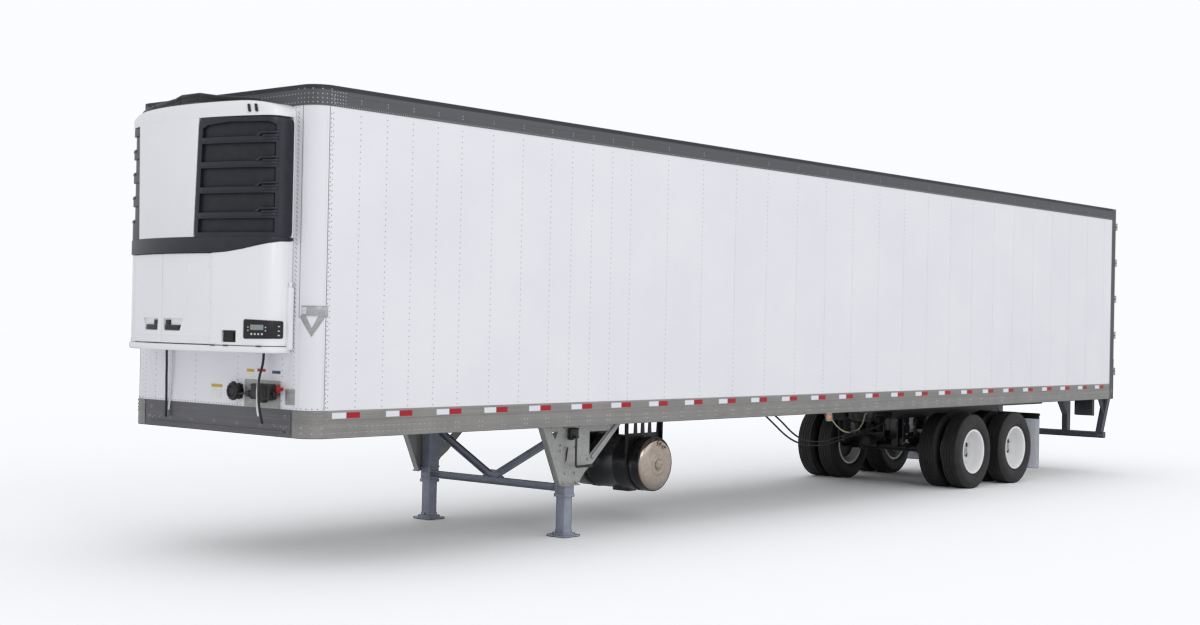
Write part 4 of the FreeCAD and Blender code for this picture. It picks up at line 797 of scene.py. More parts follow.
# %% [markdown]
# Behind the covers stands a back plate on the body's front wall, and below them a tray that catches water.
# The tray's lip is a little proud and rounded underneath, and rests on small rubber stops.

# %% Back plate, tray and end panel
inner, tray, base = bmesh.new(), bmesh.new(), bmesh.new()
block(inner, (FRONT, -HALF_WIDE + 0.002, Z_DOOR), (FRONT + 0.016, HALF_WIDE - 0.002, Z_HOOD + 0.04), 0.003)
panel(tray, box_outline(-FLANK_END, FLANK_END, Z_LOW + 0.002, Z_DOOR - 0.003), 0.0, 0.05, 0.014)
lay_round(tray)
gather(inner, tray)
plate(base, [(x, y, Z_LOW + 0.012) for x, y in plan_line(0.03, 0.0, (-0.88, -0.6, -0.3, 0, 0.3, 0.6, 0.88))],
      (0, 0, 0.02))
gather(inner, base)
piece("unit_tray", inner, unit_shell, "unit_white")
end = bmesh.new()
panel(end, box_outline(-FLANK_END, -girth(0.861), Z_DOOR, Z_BAND - 0.003), -0.012, 0.030, 0.004)
cover("unit_end_panel", end)
stops = bmesh.new()
for y in (0.452, 0.590, 0.905):
    block(stops, (0.0, girth(y), Z_DOOR - 0.006), (0.003, girth(y) + 0.055, Z_DOOR + 0.004), 0.002)
cover("tray_stops", stops, black_plastic, "unit_trim")
print("tray and end panel made")

# %% [markdown]
# Two service doors and a control panel close the lower half. The doors open from the seam between them, so
# each has a handle beside that seam: a hollow with sloping sides and a dark latch in it. A moulded step
# runs across both above the tray, and a raised line comes down from the top and turns in towards each
# handle.

# %% Service doors


def ridge(bm, points, outer, wide, tall):
    """A raised moulded line through (way round, height) points."""
    for start, end in zip(points, points[1:]):
        start, end = Vector(start), Vector(end)
        along = (end - start).normalized()
        across = Vector((-along.y, along.x)) * wide / 2
        start, end = start - along * wide / 4, end + along * wide / 4
        panel(bm, [start + across, end + across, end - across, start - across], outer + tall, tall + 0.002,
              tall * 0.9)


DOOR_OUT = -0.012
Z_LATCH, Z_GRIP = 2.016, 2.124
# Each door: its node, body, edges, hollow's corners, raised line's widths, latch's side, hinge line
DOORS = (
    ("service_door_right", "right_service_door", (-0.855, -0.235), (-0.594, -0.290, -0.300, -0.545),
     (-0.640, -0.640, -0.615, -0.560), -1, -0.858),
    ("service_door_left", "left_service_door", (-0.229, 0.437), (-0.199, 0.102, 0.053, -0.190),
     (0.160, 0.160, 0.135, 0.080), 1, 0.440),
)
for name, body, edges, hollow_at, line_at, turn, hinge_y in DOORS:
    door, latch = bmesh.new(), bmesh.new()
    start, stop = (girth(y) for y in edges)
    hollow = [(girth(y), z) for y, z in zip(hollow_at, (Z_GRIP, Z_GRIP, Z_LATCH, Z_LATCH))]
    line = [(girth(y), z) for y, z in zip(line_at, (Z_BAND - 0.02, 2.25, 2.185, 2.145))]
    panel(door, box_outline(start, stop, Z_DOOR + 0.006, Z_BAND - 0.006), DOOR_OUT, 0.030, 0.005)
    sink(door, hollow, DOOR_OUT, 0.022)
    ridge(door, line, DOOR_OUT, 0.016, 0.0025)
    ridge(door, [(start + 0.02, 1.985), (stop - 0.02, 1.985)], DOOR_OUT, 0.022, 0.003)
    cover(f"{body}_skin", door, body=body, stands_for=(name,))
    left, right = hollow[3][0], hollow[2][0]
    panel(latch, [(left + 0.012, Z_LATCH + 0.006), (right - 0.012, Z_LATCH + 0.006),
                  (right - 0.010, Z_LATCH + 0.050), (left + 0.010,
                                                     Z_LATCH + 0.050)], DOOR_OUT - 0.004, 0.016, 0.004)
    near = left if turn > 0 else right
    bolt = sorted((near + turn * 0.015, near + turn * 0.085))
    panel(latch, box_outline(*bolt, Z_LATCH + 0.052, Z_GRIP - 0.014), DOOR_OUT - 0.008, 0.012, 0.004)
    cover(f"{body}_latch", latch, black_plastic, "unit_trim", body=body)
for _, body, _, _, _, turn, hinge_y in DOORS:
    knuckles = bmesh.new()
    hinge_x = face_x(hinge_y, 0.012) + 0.009
    for bottom in (Z_DOOR + 0.060, Z_DOOR + 0.370, Z_BAND - 0.120):
        stud(knuckles, (hinge_x, hinge_y, bottom), (0, 0, 0.060), 0.0045, 16, 0.0008)
        block(knuckles, (hinge_x - 0.012, hinge_y - turn * 0.003, bottom),
              (hinge_x - 0.001, hinge_y - turn * 0.022, bottom + 0.060), 0.0015)
    piece(f"{body}_hinges", knuckles, unit_shell, "unit_white", body=body)
print("service doors made")

# %% [markdown]
# The control panel does not open. Its top edge climbs towards the corner, under the dark band. A black
# display with a small screen, a row of round buttons and a few blank keys is let into it, and a switch
# beside that.

# %% Control panel
CONTROL_START, CONTROL_OUT = girth(0.443), DOOR_OUT + 0.008
DISPLAY, KEY_OUT = girth(0.790), DOOR_OUT + 0.0155
top_line = [(girth(y), Z_BAND + rise) for y, rise in ((0.443, -0.004), (0.60, 0.006), (0.76, 0.030),
                                                      (0.90, 0.060))]
top_line += [(FACE_END + 0.06, Z_BAND + 0.080), (BEND_END, Z_BAND + 0.096), (FLANK_END, Z_BAND + 0.100)]


def across_display(share):
    """A place on the display, which is 1.66 times as wide as it was first drawn."""
    return DISPLAY + share * 1.66


def key(bm, left, wide, bottom, tall):
    panel(bm, box_outline(left, left + wide, bottom, bottom + tall), KEY_OUT, 0.003, 0.001)


control, keys, screen, buttons = bmesh.new(), bmesh.new(), bmesh.new(), bmesh.new()
panel(control, [(CONTROL_START, Z_DOOR + 0.003), (FLANK_END, Z_DOOR + 0.003)] + top_line[::-1], CONTROL_OUT,
      0.034,
      0.004)
switch_box = box_outline(girth(0.572), girth(0.716), 1.932, 2.033)
sink(control, switch_box, CONTROL_OUT, 0.022)
cover("control_panel", control, stands_for=("unit_control_panel",))
panel(keys, [(DISPLAY, 1.964), (across_display(0.226), 1.970), (across_display(0.226), 2.118),
             (DISPLAY, 2.130)],
      DOOR_OUT + 0.014, 0.010, 0.004, 0.018)
panel(keys, [(y * 0.94 + girth(0.644) * 0.06, z) for y, z in switch_box], DOOR_OUT - 0.008, 0.006, 0.002,
      0.008)
panel(keys, box_outline(girth(0.660), girth(0.690), 1.950, 2.015), DOOR_OUT + 0.004, 0.016, 0.004)
cover("display_bezel", keys, black_plastic, "unit_trim")
key(screen, across_display(0.042), 0.074 * 1.66, 2.040, 0.044)
cover("display_screen", screen, lcd, "unit_trim")
for index in range(4):
    stud(buttons, (DOOR_OUT + 0.012, across_display(0.050 + index * 0.020), 2.006), (0.006, 0, 0), 0.0085, 16)
for rise in (1.993, 2.030, 2.068):
    key(buttons, across_display(0.190), 0.022, rise, 0.008)
for rise in (2.030, 2.058):
    for share in (0.026, 0.124):
        key(buttons, across_display(share), 0.010, rise, 0.010)
cover("display_buttons", buttons, white_pipe)
print("control panel made")

# %% [markdown]
# The dark trim is one family of mouldings. First come a band across the unit whose lower edge climbs with
# the control panel, and a strip of louvres at the right corner.

# %% Band and louvre strip
BARS = (2.978, 3.192, 3.407, 3.615)  # heights of the bars between the openings, the same on both sides
band, slot_mark = bmesh.new(), bmesh.new()
under = [(-FLANK_END, Z_BAND), (CONTROL_START, Z_BAND)] + [(y, z + 0.004) for y, z in top_line[1:]]
panel(band, under + [(FLANK_END, Z_UPPER + 0.002), (-FLANK_END, Z_UPPER + 0.002)], 0.0, 0.040, 0.005)
lay_round(band)
panel(slot_mark, [(-girth(0.745), Z_UPPER - 0.030), (-girth(0.690), Z_UPPER - 0.052),
                  (-girth(0.690), Z_UPPER - 0.058), (-girth(0.745), Z_UPPER - 0.036)], 0.001, 0.004, 0.001)
lay_round(slot_mark)
gather(band, slot_mark)
block(band, (FRONT + 0.016, -0.97, Z_BAND + 0.052), (BEND_X + 0.04, 0.97, Z_BAND + 0.062), 0.002)
piece("unit_trim_band", band, charcoal, "unit_trim", stands_for=("unit_band",))
louvres = bmesh.new()
panel(louvres, [(-FLANK_END, Z_UPPER), (LOUVRE_RIGHT_LOW - 0.003, Z_UPPER),
                (LOUVRE_RIGHT_TOP - 0.003, Z_HOOD - 0.01),
                (-FLANK_END, Z_HOOD + 0.004)], -0.006, 0.030, 0.005, 0.02)
for z in BARS:
    sink(louvres, box_outline(-FLANK_END + 0.03, LOUVRE_RIGHT_LOW - 0.05, z + 0.03, z + 0.15), -0.006, 0.018)
    panel(louvres, box_outline(-FACE_END - 0.10, -FACE_END + 0.06, z + 0.002, z + 0.022), 0.0, 0.012, 0.003)
cover("louvre_strip", louvres, charcoal, "unit_trim")
print("band and louvres made")

# %% [markdown]
# The condenser's grille has a deep surround, a plate with five openings. Each opening is cut by planes, and
# its piece of the skin taken out and given walls. The topmost is arched. Bars with small moulded lips run
# between them, and a black screen lies behind each.

# %% Grille surround, bars and screens
OPEN_RIGHT = FACE_END + 0.105
lows = [Z_UPPER + 0.040] + [z + 0.052 for z in BARS]
highs = [*BARS, Z_HOOD - 0.045]


def left_of_opening(z):
    """The surround's left limb leans: it is this far round at a height."""
    share = (z - Z_UPPER) / (Z_HOOD - Z_UPPER)
    return GRILLE_LEFT_LOW + 0.052 + share * (GRILLE_LEFT_TOP - GRILLE_LEFT_LOW)


surround, lips, screens = bmesh.new(), bmesh.new(), bmesh.new()
panel(surround, [(GRILLE_LEFT_LOW, Z_UPPER), (FLANK_END - 0.012, Z_UPPER), (FLANK_END - 0.012, Z_HOOD - 0.012),
                 (GRILLE_LEFT_TOP, Z_HOOD)], 0.0, 0.042, 0.005, 0.050)
for bottom, height in zip(lows, highs):
    corners = [(left_of_opening(bottom), bottom), (OPEN_RIGHT, bottom), (OPEN_RIGHT, height)]
    if height == highs[-1]:
        corners[2:] = [(OPEN_RIGHT, height - 0.030), (OPEN_RIGHT - 0.060, height - 0.006),
                       (left_of_opening(height) + 0.300, height), (left_of_opening(height) + 0.060,
                                                                   height - 0.020)]
        height -= 0.048
    sink(surround, corners + [(left_of_opening(height), height)], 0.0, 0.036)
cover("grille_surround", surround, charcoal, "unit_trim", stands_for=("unit_grille",))
for z in BARS:
    left = left_of_opening(z)
    panel(lips, [(left, z + 0.012), (OPEN_RIGHT - 0.10, z + 0.012), (OPEN_RIGHT - 0.085, z + 0.030),
                 (OPEN_RIGHT - 0.085, z + 0.050), (left, z + 0.050)], 0.004, 0.010, 0.004)
    panel(lips, [(OPEN_RIGHT - 0.200, z + 0.050), (OPEN_RIGHT - 0.150, z + 0.050),
                 (OPEN_RIGHT - 0.110, z + 0.092),
                 (OPEN_RIGHT - 0.128, z + 0.092)], 0.007, 0.012, 0.004)
    for rise, start in ((0.020, 0.110), (0.045, 0.118), (0.072, 0.128)):
        panel(lips, [(OPEN_RIGHT - start, z + rise), (OPEN_RIGHT + 0.030, z + rise + 0.006),
                     (OPEN_RIGHT + 0.030, z + rise + 0.022), (OPEN_RIGHT - start, z + rise + 0.018)],
              0.010, 0.012, 0.005)
cover("grille_bars", lips, charcoal, "unit_trim")
for bottom, height in zip(lows, highs):
    panel(screens, [(left_of_opening(bottom) - 0.004, bottom - 0.004), (OPEN_RIGHT + 0.004, bottom - 0.004),
                    (OPEN_RIGHT + 0.004, height + 0.004), (left_of_opening(height) - 0.004, height + 0.004)],
          -0.024, 0.004)
cover("grille_screens", screens, screen_black, "unit_trim")
print("grille made")

# %% [markdown]
# Small things finish the unit: a black sleeve over the hood's back edge, two rubber latches by its left
# corner, white pipes that run down beside the drain hoses, and on the flank a white cover for the cable
# that runs up to the marker light on the body's corner.

# %% Sleeve, latches, pipes and flank cover


def jointed(bm, route, radius, sides=16, edge=0.0, around=16):
    """A round bar along a route, with a ball at each joint."""
    for before, after in zip(route, route[1:]):
        bar(bm, before, after, radius, sides, edge)
        ball(bm, after, radius, around)


extras, straps, pipes, flank = bmesh.new(), bmesh.new(), bmesh.new(), bmesh.new()
sleeve = [Vector((face_x(y) - back, y, Z_TOP + rise)) for y, rise, back in (
    (-0.985, -0.010, 0.10), (-0.93, 0.018, 0.11), (-0.60, 0.040, 0.12), (-0.24, 0.056, 0.12), (-0.13, 0.080,
                                                                                               0.12),
    (0.12, 0.080, 0.12), (0.30, 0.052, 0.14), (0.66, 0.020, 0.24))]
DROP = Vector((0, 0, -0.060))
for before, after in zip(sleeve, sleeve[1:]):
    jointed(extras, [before, after], 0.021, 16, 0.006)
    plate(extras, [before + DROP, after + DROP, after, before], (0.012, 0, 0), 0.002)
piece("hood_sleeve", extras, black_plastic, "unit_trim")
for way in (girth(0.80), girth(0.865)):
    panel(straps, [(way, Z_HOOD + 0.030), (way + 0.024, Z_HOOD + 0.030), (way + 0.012, Z_HOOD + 0.098),
                   (way - 0.012, Z_HOOD + 0.098)], 0.014, 0.012, 0.005, 0.008)
cover("hood_latches", straps, black_plastic, "unit_trim")
beside = Vector((-0.014, 0.0165, 0))
for route, at_top, at_foot in ((drain_right, 2.2 * beside, beside),
                               (drain_left, Vector((-0.016, -0.015, 0)), -beside)):
    last = len(route) - 1
    run = [Vector(place) + at_top.lerp(at_foot, (index / last) ** 2) for index, place in enumerate(route)]
    run[-1] = run[-2].lerp(run[-1], 0.4)
    jointed(pipes, run, 0.0105, around=12)
piece("drain_pipes", pipes, white_pipe, "unit_white")
block(flank, (FRONT + 0.004, HALF_WIDE - 0.01, Z_LOW + 0.03),
      (FRONT + 0.055, HALF_WIDE + 0.035, Z_LOW + 0.56), 0.012, 3)
stud(flank, (FRONT + 0.03, HALF_WIDE + 0.014, Z_LOW + 0.56), (0, 0, 0.045), 0.015, 16, 0.004)
piece("flank_cover", flank, unit_shell, "unit_white")
print("unit finished")

# %% [markdown]
# ## The front wall and its corners
# The body's two front corners are rounded sheets, so what wraps round them is also designed flat and then
# bent: X is the height above the skin, Y the way round from where the bend starts on the front face, and Z
# the height. The rail's cover, and the rivets of the corner's sheet and of both rails, go round this way.

# %% Lay a flat design round a body corner
SKIN_R, RAIL_R = CORNER - (FRONT - SKIN_X), CORNER
SKIN_END = SKIN_R * math.pi / 2


def lay_on_corner(bm, side, radius, heads=False):
    """Bend a flat design round a front corner whose skin has this radius. Rivet heads need no cuts."""
    turn_end = radius * math.pi / 2
    for index in range(0 if heads else 11):
        cut(bm, (0, turn_end * index / 10, 0), (0, 1, 0))
    start = Vector((SEAM_X, RAIL_Y - CORNER, 0))
    for vert in bm.verts:
        out, way, rise = vert.co
        turn = max(0.0, min(way, turn_end)) / radius
        facing = Vector((math.cos(turn), math.sin(turn), 0))
        along = Vector((-facing.y, facing.x, 0))
        vert.co = start + facing * (radius + out) + along * (way - turn * radius) + Vector((0, 0, rise))
        vert.co.y *= side


def on_corner(name, bm, side, radius, finish, slot, heads=False):
    lay_on_corner(bm, side, radius, heads)
    piece(name, bm, finish, slot, turn_out=not heads)


STEP = 1.5 * INCH
for side, name in SIDES:
    rail, heads, rail_heads = bmesh.new(), bmesh.new(), bmesh.new()
    far = RAIL_R * math.pi / 2 + 0.012
    block(rail, (-0.001, -0.048, RAIL_LOW + 0.003), (0.0012, far, RAIL_TOP - 0.003))
    for rise, tall in ((0.124, 0.010), (0.150, 0.008), (0.178, 0.012), (0.214, 0.012)):
        block(rail, (0.0, -0.046, RAIL_LOW + rise), (0.0065, far, RAIL_LOW + rise + tall), 0.004)
    on_corner(f"{name}_corner_rail_cover", rail, side, RAIL_R, mill_aluminium, "rail_aluminium")
    for way in (-0.044, SKIN_END - 0.012):
        rivet_rows(heads, (0.0004, way, RAIL_TOP + 0.026), AHEAD,
                   [((0, 0, STEP), int((COVE - RAIL_TOP - 0.05) / STEP))])
    rivet_rows(heads, (0.0004, 0.0, RAIL_TOP + 0.014), AHEAD, [((0, 1.9 * INCH, 0), 6)])
    on_corner(f"{name}_corner_rivets", heads, side, SKIN_R, rivet_grey, "rail_aluminium", heads=True)
    for rise, pitch in ((0.026, 1.6 * INCH), (0.062, 1.6 * INCH), (0.098, 1.6 * INCH), (0.140, 3.2 * INCH)):
        rivet_rows(rail_heads, (0.0, -0.06, COVE + rise), AHEAD, [((0, pitch, 0), int(0.44 / pitch))], 0.0058)
    for way in (0.055, 0.150, 0.235):
        rivet_rows(rail_heads, (0.0, way, RAIL_LOW + 0.042), AHEAD, [((0, 0, 0.046), 2)], 0.0095, 0.005, 10)
    rivet_rows(rail_heads, (0.0, -0.155, RAIL_LOW + 0.165), AHEAD, [((0, 0, 0.018), 2), ((0, 0.016, 0), 2)],
               0.0045)
    for way, rise in ((-0.20, 0.090), (-0.165, 0.075), (-0.13, 0.090), (-0.30, 0.100), (-0.28, 0.086)):
        rivet_rows(rail_heads, (0.0, way, RAIL_LOW + rise), AHEAD, [], 0.0055)
    on_corner(f"{name}_corner_rail_rivets", rail_heads, side, RAIL_R, rivet_bright, "rail_aluminium",
              heads=True)
print("corner rivets made")

# %% [markdown]
# Each corner's sheet ends in a seam that a narrow cover strip hides. On the front a tapered gusset sheet
# stiffens the wall beside it. High on the corner a polished shield wraps round with a small clear lamp in
# its end, and a folded chevron of aluminium braces it from below.

# %% Corner covers, gussets, lamp shields
for side, name in SIDES:
    strips, gusset, seams, shield, lamp, chevron = (bmesh.new() for _ in range(6))
    for way in (0.020, SKIN_END - 0.040):
        block(strips, (-0.0004, way - 0.009, RAIL_TOP + 0.004), (0.0022, way + 0.009, COVE - 0.004), 0.0012)
    for way in (0.006, SKIN_END - 0.026):
        block(seams, (-0.0004, way - 0.0022, RAIL_TOP + 0.004), (0.0010, way + 0.0022, COVE - 0.004))
    for back, out, bottom, height, edge in ((-0.0004, 0.0030, 2.168, 2.252, 0.0014),
                                            (0.0030, 0.0090, 2.168, 2.174, 0.0020),
                                            (0.0030, 0.0090, 2.246, 2.252, 0.0020)):
        block(shield, (back, 0.035, bottom), (out, SKIN_END - 0.006, height), edge)
    block(lamp, (0.0006, 0.040, 2.180), (0.0200, 0.086, 2.240), 0.007, 3)
    centre = SKIN_END * 0.47
    for turn in (1, -1):
        plate(chevron, [(0.0, centre + turn * 0.118, 2.166), (0.0, centre + turn * 0.052, 2.166),
                        (0.0, centre, 2.062), (0.0, centre, 1.990)], (0.003, 0, 0), 0.0012)
    lay_on_corner(strips, side, SKIN_R)
    plate(gusset, [(SKIN_X - 0.0004, side * y, z) for y, z in (
        (1.030, Z_LOW + 0.02), (0.905, RAIL_TOP + 0.002), (1.128, RAIL_TOP + 0.002), (1.128, Z_LOW + 0.30),
        (1.032, Z_LOW + 0.30))], (0.0016, 0, 0), 0.0006)
    gather(strips, gusset)
    piece(f"{name}_corner_covers", strips, white_sheet, "white_panel")
    on_corner(f"{name}_corner_seams", seams, side, SKIN_R, door_seal, "rubber")
    on_corner(f"{name}_lamp_shield", shield, side, SKIN_R, rivet_bright, "rail_aluminium")
    on_corner(f"{name}_corner_lamp", lamp, side, SKIN_R, clear_lens, "lamp_plastic")
    on_corner(f"{name}_chevron", chevron, side, SKIN_R, galvanised, "galvanised_steel")
print("corner pieces made")

# %% [markdown]
# The front wall's own sheet is riveted to posts behind it, and along its foot. Blank patches of film stand
# where instructions would be, and a bent plate holds the papers.

# %% Front wall rivets, patches and plates


def on_wall(out, y, up):
    """A place on the front wall: how far out of its sheet, across, and up from the bottom rail's top."""
    return Vector((SKIN_X + out, y, RAIL_TOP + up))


heads, rail_heads, films, holder = (bmesh.new() for _ in range(4))
under = int((Z_LOW - RAIL_TOP - 0.03) / UP) + 1
for y in (-1.116, -0.914, -0.305, 0.305, 0.914):
    rivet_rows(heads, on_wall(0, y, 0.024), AHEAD, [((0, 0, UP), under)])
for y, z, count in ((-1.10, RAIL_TOP + 0.012, 39), (0.915, RAIL_TOP + 0.012, 6), (-1.10, COVE - 0.014, 58)):
    rivet_rows(heads, (SKIN_X, y, z), AHEAD, [((0, STEP, 0), count)])
for y in (-1.075, 1.060):
    rivet_rows(heads, (SKIN_X + 0.0012, y, Z_LOW + 0.02), AHEAD, [((0, 0, STEP), 54)])
piece("front_wall_rivets", heads, rivet_grey, "rail_aluminium", turn_out=False)
for rise in (0.026, 0.098):
    rivet_rows(rail_heads, (FRONT, -1.10, COVE + rise), AHEAD, [((0, 1.6 * INCH, 0), 55)], 0.0058)
for y in (-1.02, -0.69, -0.36, -0.03, 0.30, 0.63):
    rivet_rows(rail_heads, (FRONT, y, RAIL_LOW + 0.078), AHEAD, [((0, 0, 0.016), 2), ((0, 0.022, 0), 2)],
               0.0045)
piece("front_rail_rivets", rail_heads, rivet_bright, "rail_aluminium", turn_out=False)
bands = {yellow_film: bmesh.new(), red_paint: bmesh.new(), blue_film: bmesh.new()}
for finish, left, right, bottom, height in (
        (yellow_film, 0.428, 0.534, 0.240, 0.330), (red_paint, 0.577, 0.691, 0.250, 0.335),
        (blue_film, 0.780, 0.892, 0.250, 0.324), (yellow_film, -0.070, 0.090, 0.060, 0.180)):
    block(films, on_wall(0, left, bottom), on_wall(0.0005, right, height))
    block(bands[finish], on_wall(0, left, height - 0.026), on_wall(0.0008, right, height))
piece("blank_patches", films, label_white, "white_panel")
for finish, bm in bands.items():
    piece(f"{finish.name.split()[0]}_patch_bands", bm, finish, "white_panel")
for one, other, edge in (
        ((0, 0.974, 0.042), (0.012, 1.088, 0.173), 0.002), ((0.012, 0.974, 0.150), (0.016, 1.088, 0.173),
                                                            0.0015),
        ((0.012, 0.985, 0.052), (0.0138, 1.077, 0.142), 0.0008), ((0.0138, 1.018, 0.066),
                                                                  (0.0165, 1.044, 0.078), 0.001),
        ((0, 0.410, 0), (0.005, 0.900, 0.240), 0.0015)):
    block(holder, on_wall(*one), on_wall(*other), edge)
rivet_rows(holder, on_wall(0.005, 0.425, 0.018), AHEAD, [((0, 0, 0.204), 2), ((0, 0.115, 0), 5)], 0.0060)
piece("wall_plates", holder, galvanised, "galvanised_steel", stands_for=("front_wall_plates",))
print("front wall dressed")

# %% [markdown]
# Its fittings are for the lorry: an electrical socket with a sprung lid and a knurled edge, and a cast box
# with two air couplings. The socket, the box's glass eye and the couplings are turned parts.

# %% Socket, box and air couplings
socket, box = bmesh.new(), bmesh.new()
SOCKET = on_wall(0, 0.325, 0.131)
spun(socket, [(0.0, 0.078), (0.034, 0.080), (0.040, 0.074), (0.046, 0.074), (0.050, 0.082), (0.066, 0.082),
              (0.074, 0.076), (0.078, 0.064), (0.078, 0.052), (0.070, 0.046), (0.052, 0.040), (0.050, 0.006),
              (0.070, 0.004), (0.072, 0.0), (0.0, 0.0)], SOCKET, AHEAD, 48)
stud(socket, SOCKET + Vector((0.060, -0.022, 0.078)), (0, 0.044, 0), 0.008, 16)
for index in range(12):
    turn = math.tau * index / 12
    stud(socket, SOCKET + Vector((0.054, math.cos(turn) * 0.0765, math.sin(turn) * 0.0765)), (0.020, 0, 0),
         0.0045, 8, 0)
for y, z in ((-1, -1), (-1, 1), (1, -1), (1, 1)):
    stud(socket, SOCKET + Vector((0.002, y * 0.056, z * 0.056)), (0.010, 0, 0), 0.007)
piece("socket_and_lid", socket, black_plastic, "gear_paint")
block(box, on_wall(0.005, 0.610, 0.074), on_wall(0.098, 0.852, 0.212), 0.014, 3)
block(box, on_wall(0.098, 0.632, 0.094), on_wall(0.112, 0.828, 0.192), 0.006, 3)
for y in (0.625, 0.836):
    for rise in (0.088, 0.198):
        stud(box, on_wall(0.094, y, rise), (0.012, 0, 0), 0.007)
spun(box, [(0.0, 0.060), (0.020, 0.060), (0.026, 0.054), (0.031, 0.042), (0.031, 0.006), (0.024, 0.0),
           (0.0, 0.0)],
     on_wall(0.005, 0.520, 0.120), AHEAD, 32)
bar(box, on_wall(0.050, 0.520, 0.120), on_wall(0.050, 0.618, 0.132), 0.012, 16)
bar(box, on_wall(0.060, 0.405, 0.112), on_wall(0.052, 0.500, 0.118), 0.009, 16)
block(box, on_wall(0.030, 0.690, 0.048), on_wall(0.086, 0.770, 0.080), 0.008)
piece("coupling_box", box, cast_grey, "gear_paint", stands_for=("gladhand_box",))
HORNS = ((0.034, 0.012, ((-0.011, 0.010), (-0.011, 0.043), (0.004, 0.044), (0.011, 0.030), (0.011, 0.008))),
         (0.048, 0.010, ((-0.010, -0.043), (-0.010, -0.012), (0.010, -0.012), (0.010, -0.036),
                         (0.002, -0.044))))
for name, centre, finish, stands_for in (
        ("service", on_wall(0.006, 0.882, 0.130), black_plastic, ("gladhands",)),
        ("emergency", on_wall(0.0, 0.925, 0.170), red_paint, ())):
    hand = bmesh.new()
    spun(hand, [(0.0, 0.024), (0.012, 0.030), (0.022, 0.034), (0.024, 0.044), (0.023, 0.056), (0.018, 0.066),
                (0.012, 0.070), (0.011, 0.058), (0.0, 0.057)], centre, AHEAD, 32)
    for out, thick, outline in HORNS:
        plate(hand, [centre + Vector((out, y, z)) for y, z in outline], (thick, 0, 0), 0.003)
    stud(hand, centre, (0.030, 0, 0), 0.016, 6, 0.002)
    piece(f"{name}_coupling", hand, finish, "gear_paint", stands_for=stands_for)
print("socket, box and couplings made")

# %% [markdown]
# ## Wheels and tyres
# Each axle end carries two tyres on two pressed steel wheels that are bolted back to back, so the outer one
# shows its deep dish. A tyre is a turned section with its tread cut into ribs. The ribs are short blocks
# with narrow gaps, put round the tread a row at a time, each row turned a little from the last, as a mould
# is made.

# %% Tyres
DUAL = 0.3430 / 2
TYRE_R, TREAD_BASE = 0.505, 0.4935
SIDEWALL = [(0.284, 0.095), (0.2865, 0.105), (0.306, 0.106), (0.311, 0.111), (0.318, 0.121), (0.3215, 0.1225),
            (0.325, 0.121), (0.340, 0.130), (0.3425, 0.1325), (0.346, 0.1315), (0.366, 0.1375), (0.392,
                                                                                                 0.1400),
            (0.412, 0.1395), (0.4145, 0.1400), (0.418, 0.1388), (0.440, 0.1360), (0.443, 0.1365), (0.446,
                                                                                                   0.1345),
            (0.464, 0.1275), (0.478, 0.1170), (0.488, 0.1080), (0.4935, 0.1050)]
RIBS = ((-0.0835, 0.038), (-0.0435, 0.034), (0.0, 0.036), (0.0435, 0.034), (0.0835, 0.038))
BLOCKS = 72


def turn_about_axle(bm, angle, verts):
    bmesh.ops.rotate(bm, cent=(0, 0, 0), matrix=Matrix.Rotation(angle, 3, "Y"), verts=verts)


def tyre(bm, centre):
    """A tyre on the axle's line, turned from its section, with its tread blocks."""
    section = [(r, -a) for r, a in SIDEWALL] + [(r, a) for r, a in reversed(SIDEWALL)]
    spun(bm, section + section[:1], centre, (0, 1, 0), 96)
    half = math.pi * TYRE_R / BLOCKS - 0.0011
    for index, (rib, wide) in enumerate(RIBS):
        row = bmesh.new()
        outline = [(-half - 0.004, -wide / 2), (0.0, -wide / 2 + 0.0022), (half - 0.004, -wide / 2),
                   (half + 0.004, wide / 2), (0.0, wide / 2 - 0.0022), (-half + 0.004, wide / 2)]
        plate(row, [(x, rib + y, TREAD_BASE - 0.003) for x, y in outline],
              (0, 0, TYRE_R - TREAD_BASE + 0.0023),
              0.0014)
        one = whole(row)
        for step in range(1, BLOCKS):
            turn_about_axle(row, math.tau * step / BLOCKS, new_verts(bmesh.ops.duplicate(row, geom=one)))
        turn_about_axle(row, index * 0.031, row.verts)
        bmesh.ops.translate(row, vec=Vector(centre), verts=row.verts)
        gather(bm, row)


AXLES = {end: middle(f"{end}_left_wheels").x for end in ("front", "rear")}
WHEEL_Y = middle("front_left_tyres").y
WHEELS = [(f"{end}_{hand}", side, Vector((axle_x, side * WHEEL_Y, TYRE_R)))
          for end, axle_x in AXLES.items() for side, hand in SIDES]
for name, side, centre in WHEELS:
    pair = bmesh.new()
    for out in (-1, 1):
        tyre(pair, centre + Vector((0, side * out * DUAL, 0)))
    print(name, "tyre faces:", len(pair.faces))
    piece(f"{name}_tyre_pair", pair, tyre_rubber, "tyre", body=f"{name}_wheels", smooth=30,
          stands_for=(f"{name}_tyres",), turn_out=False)
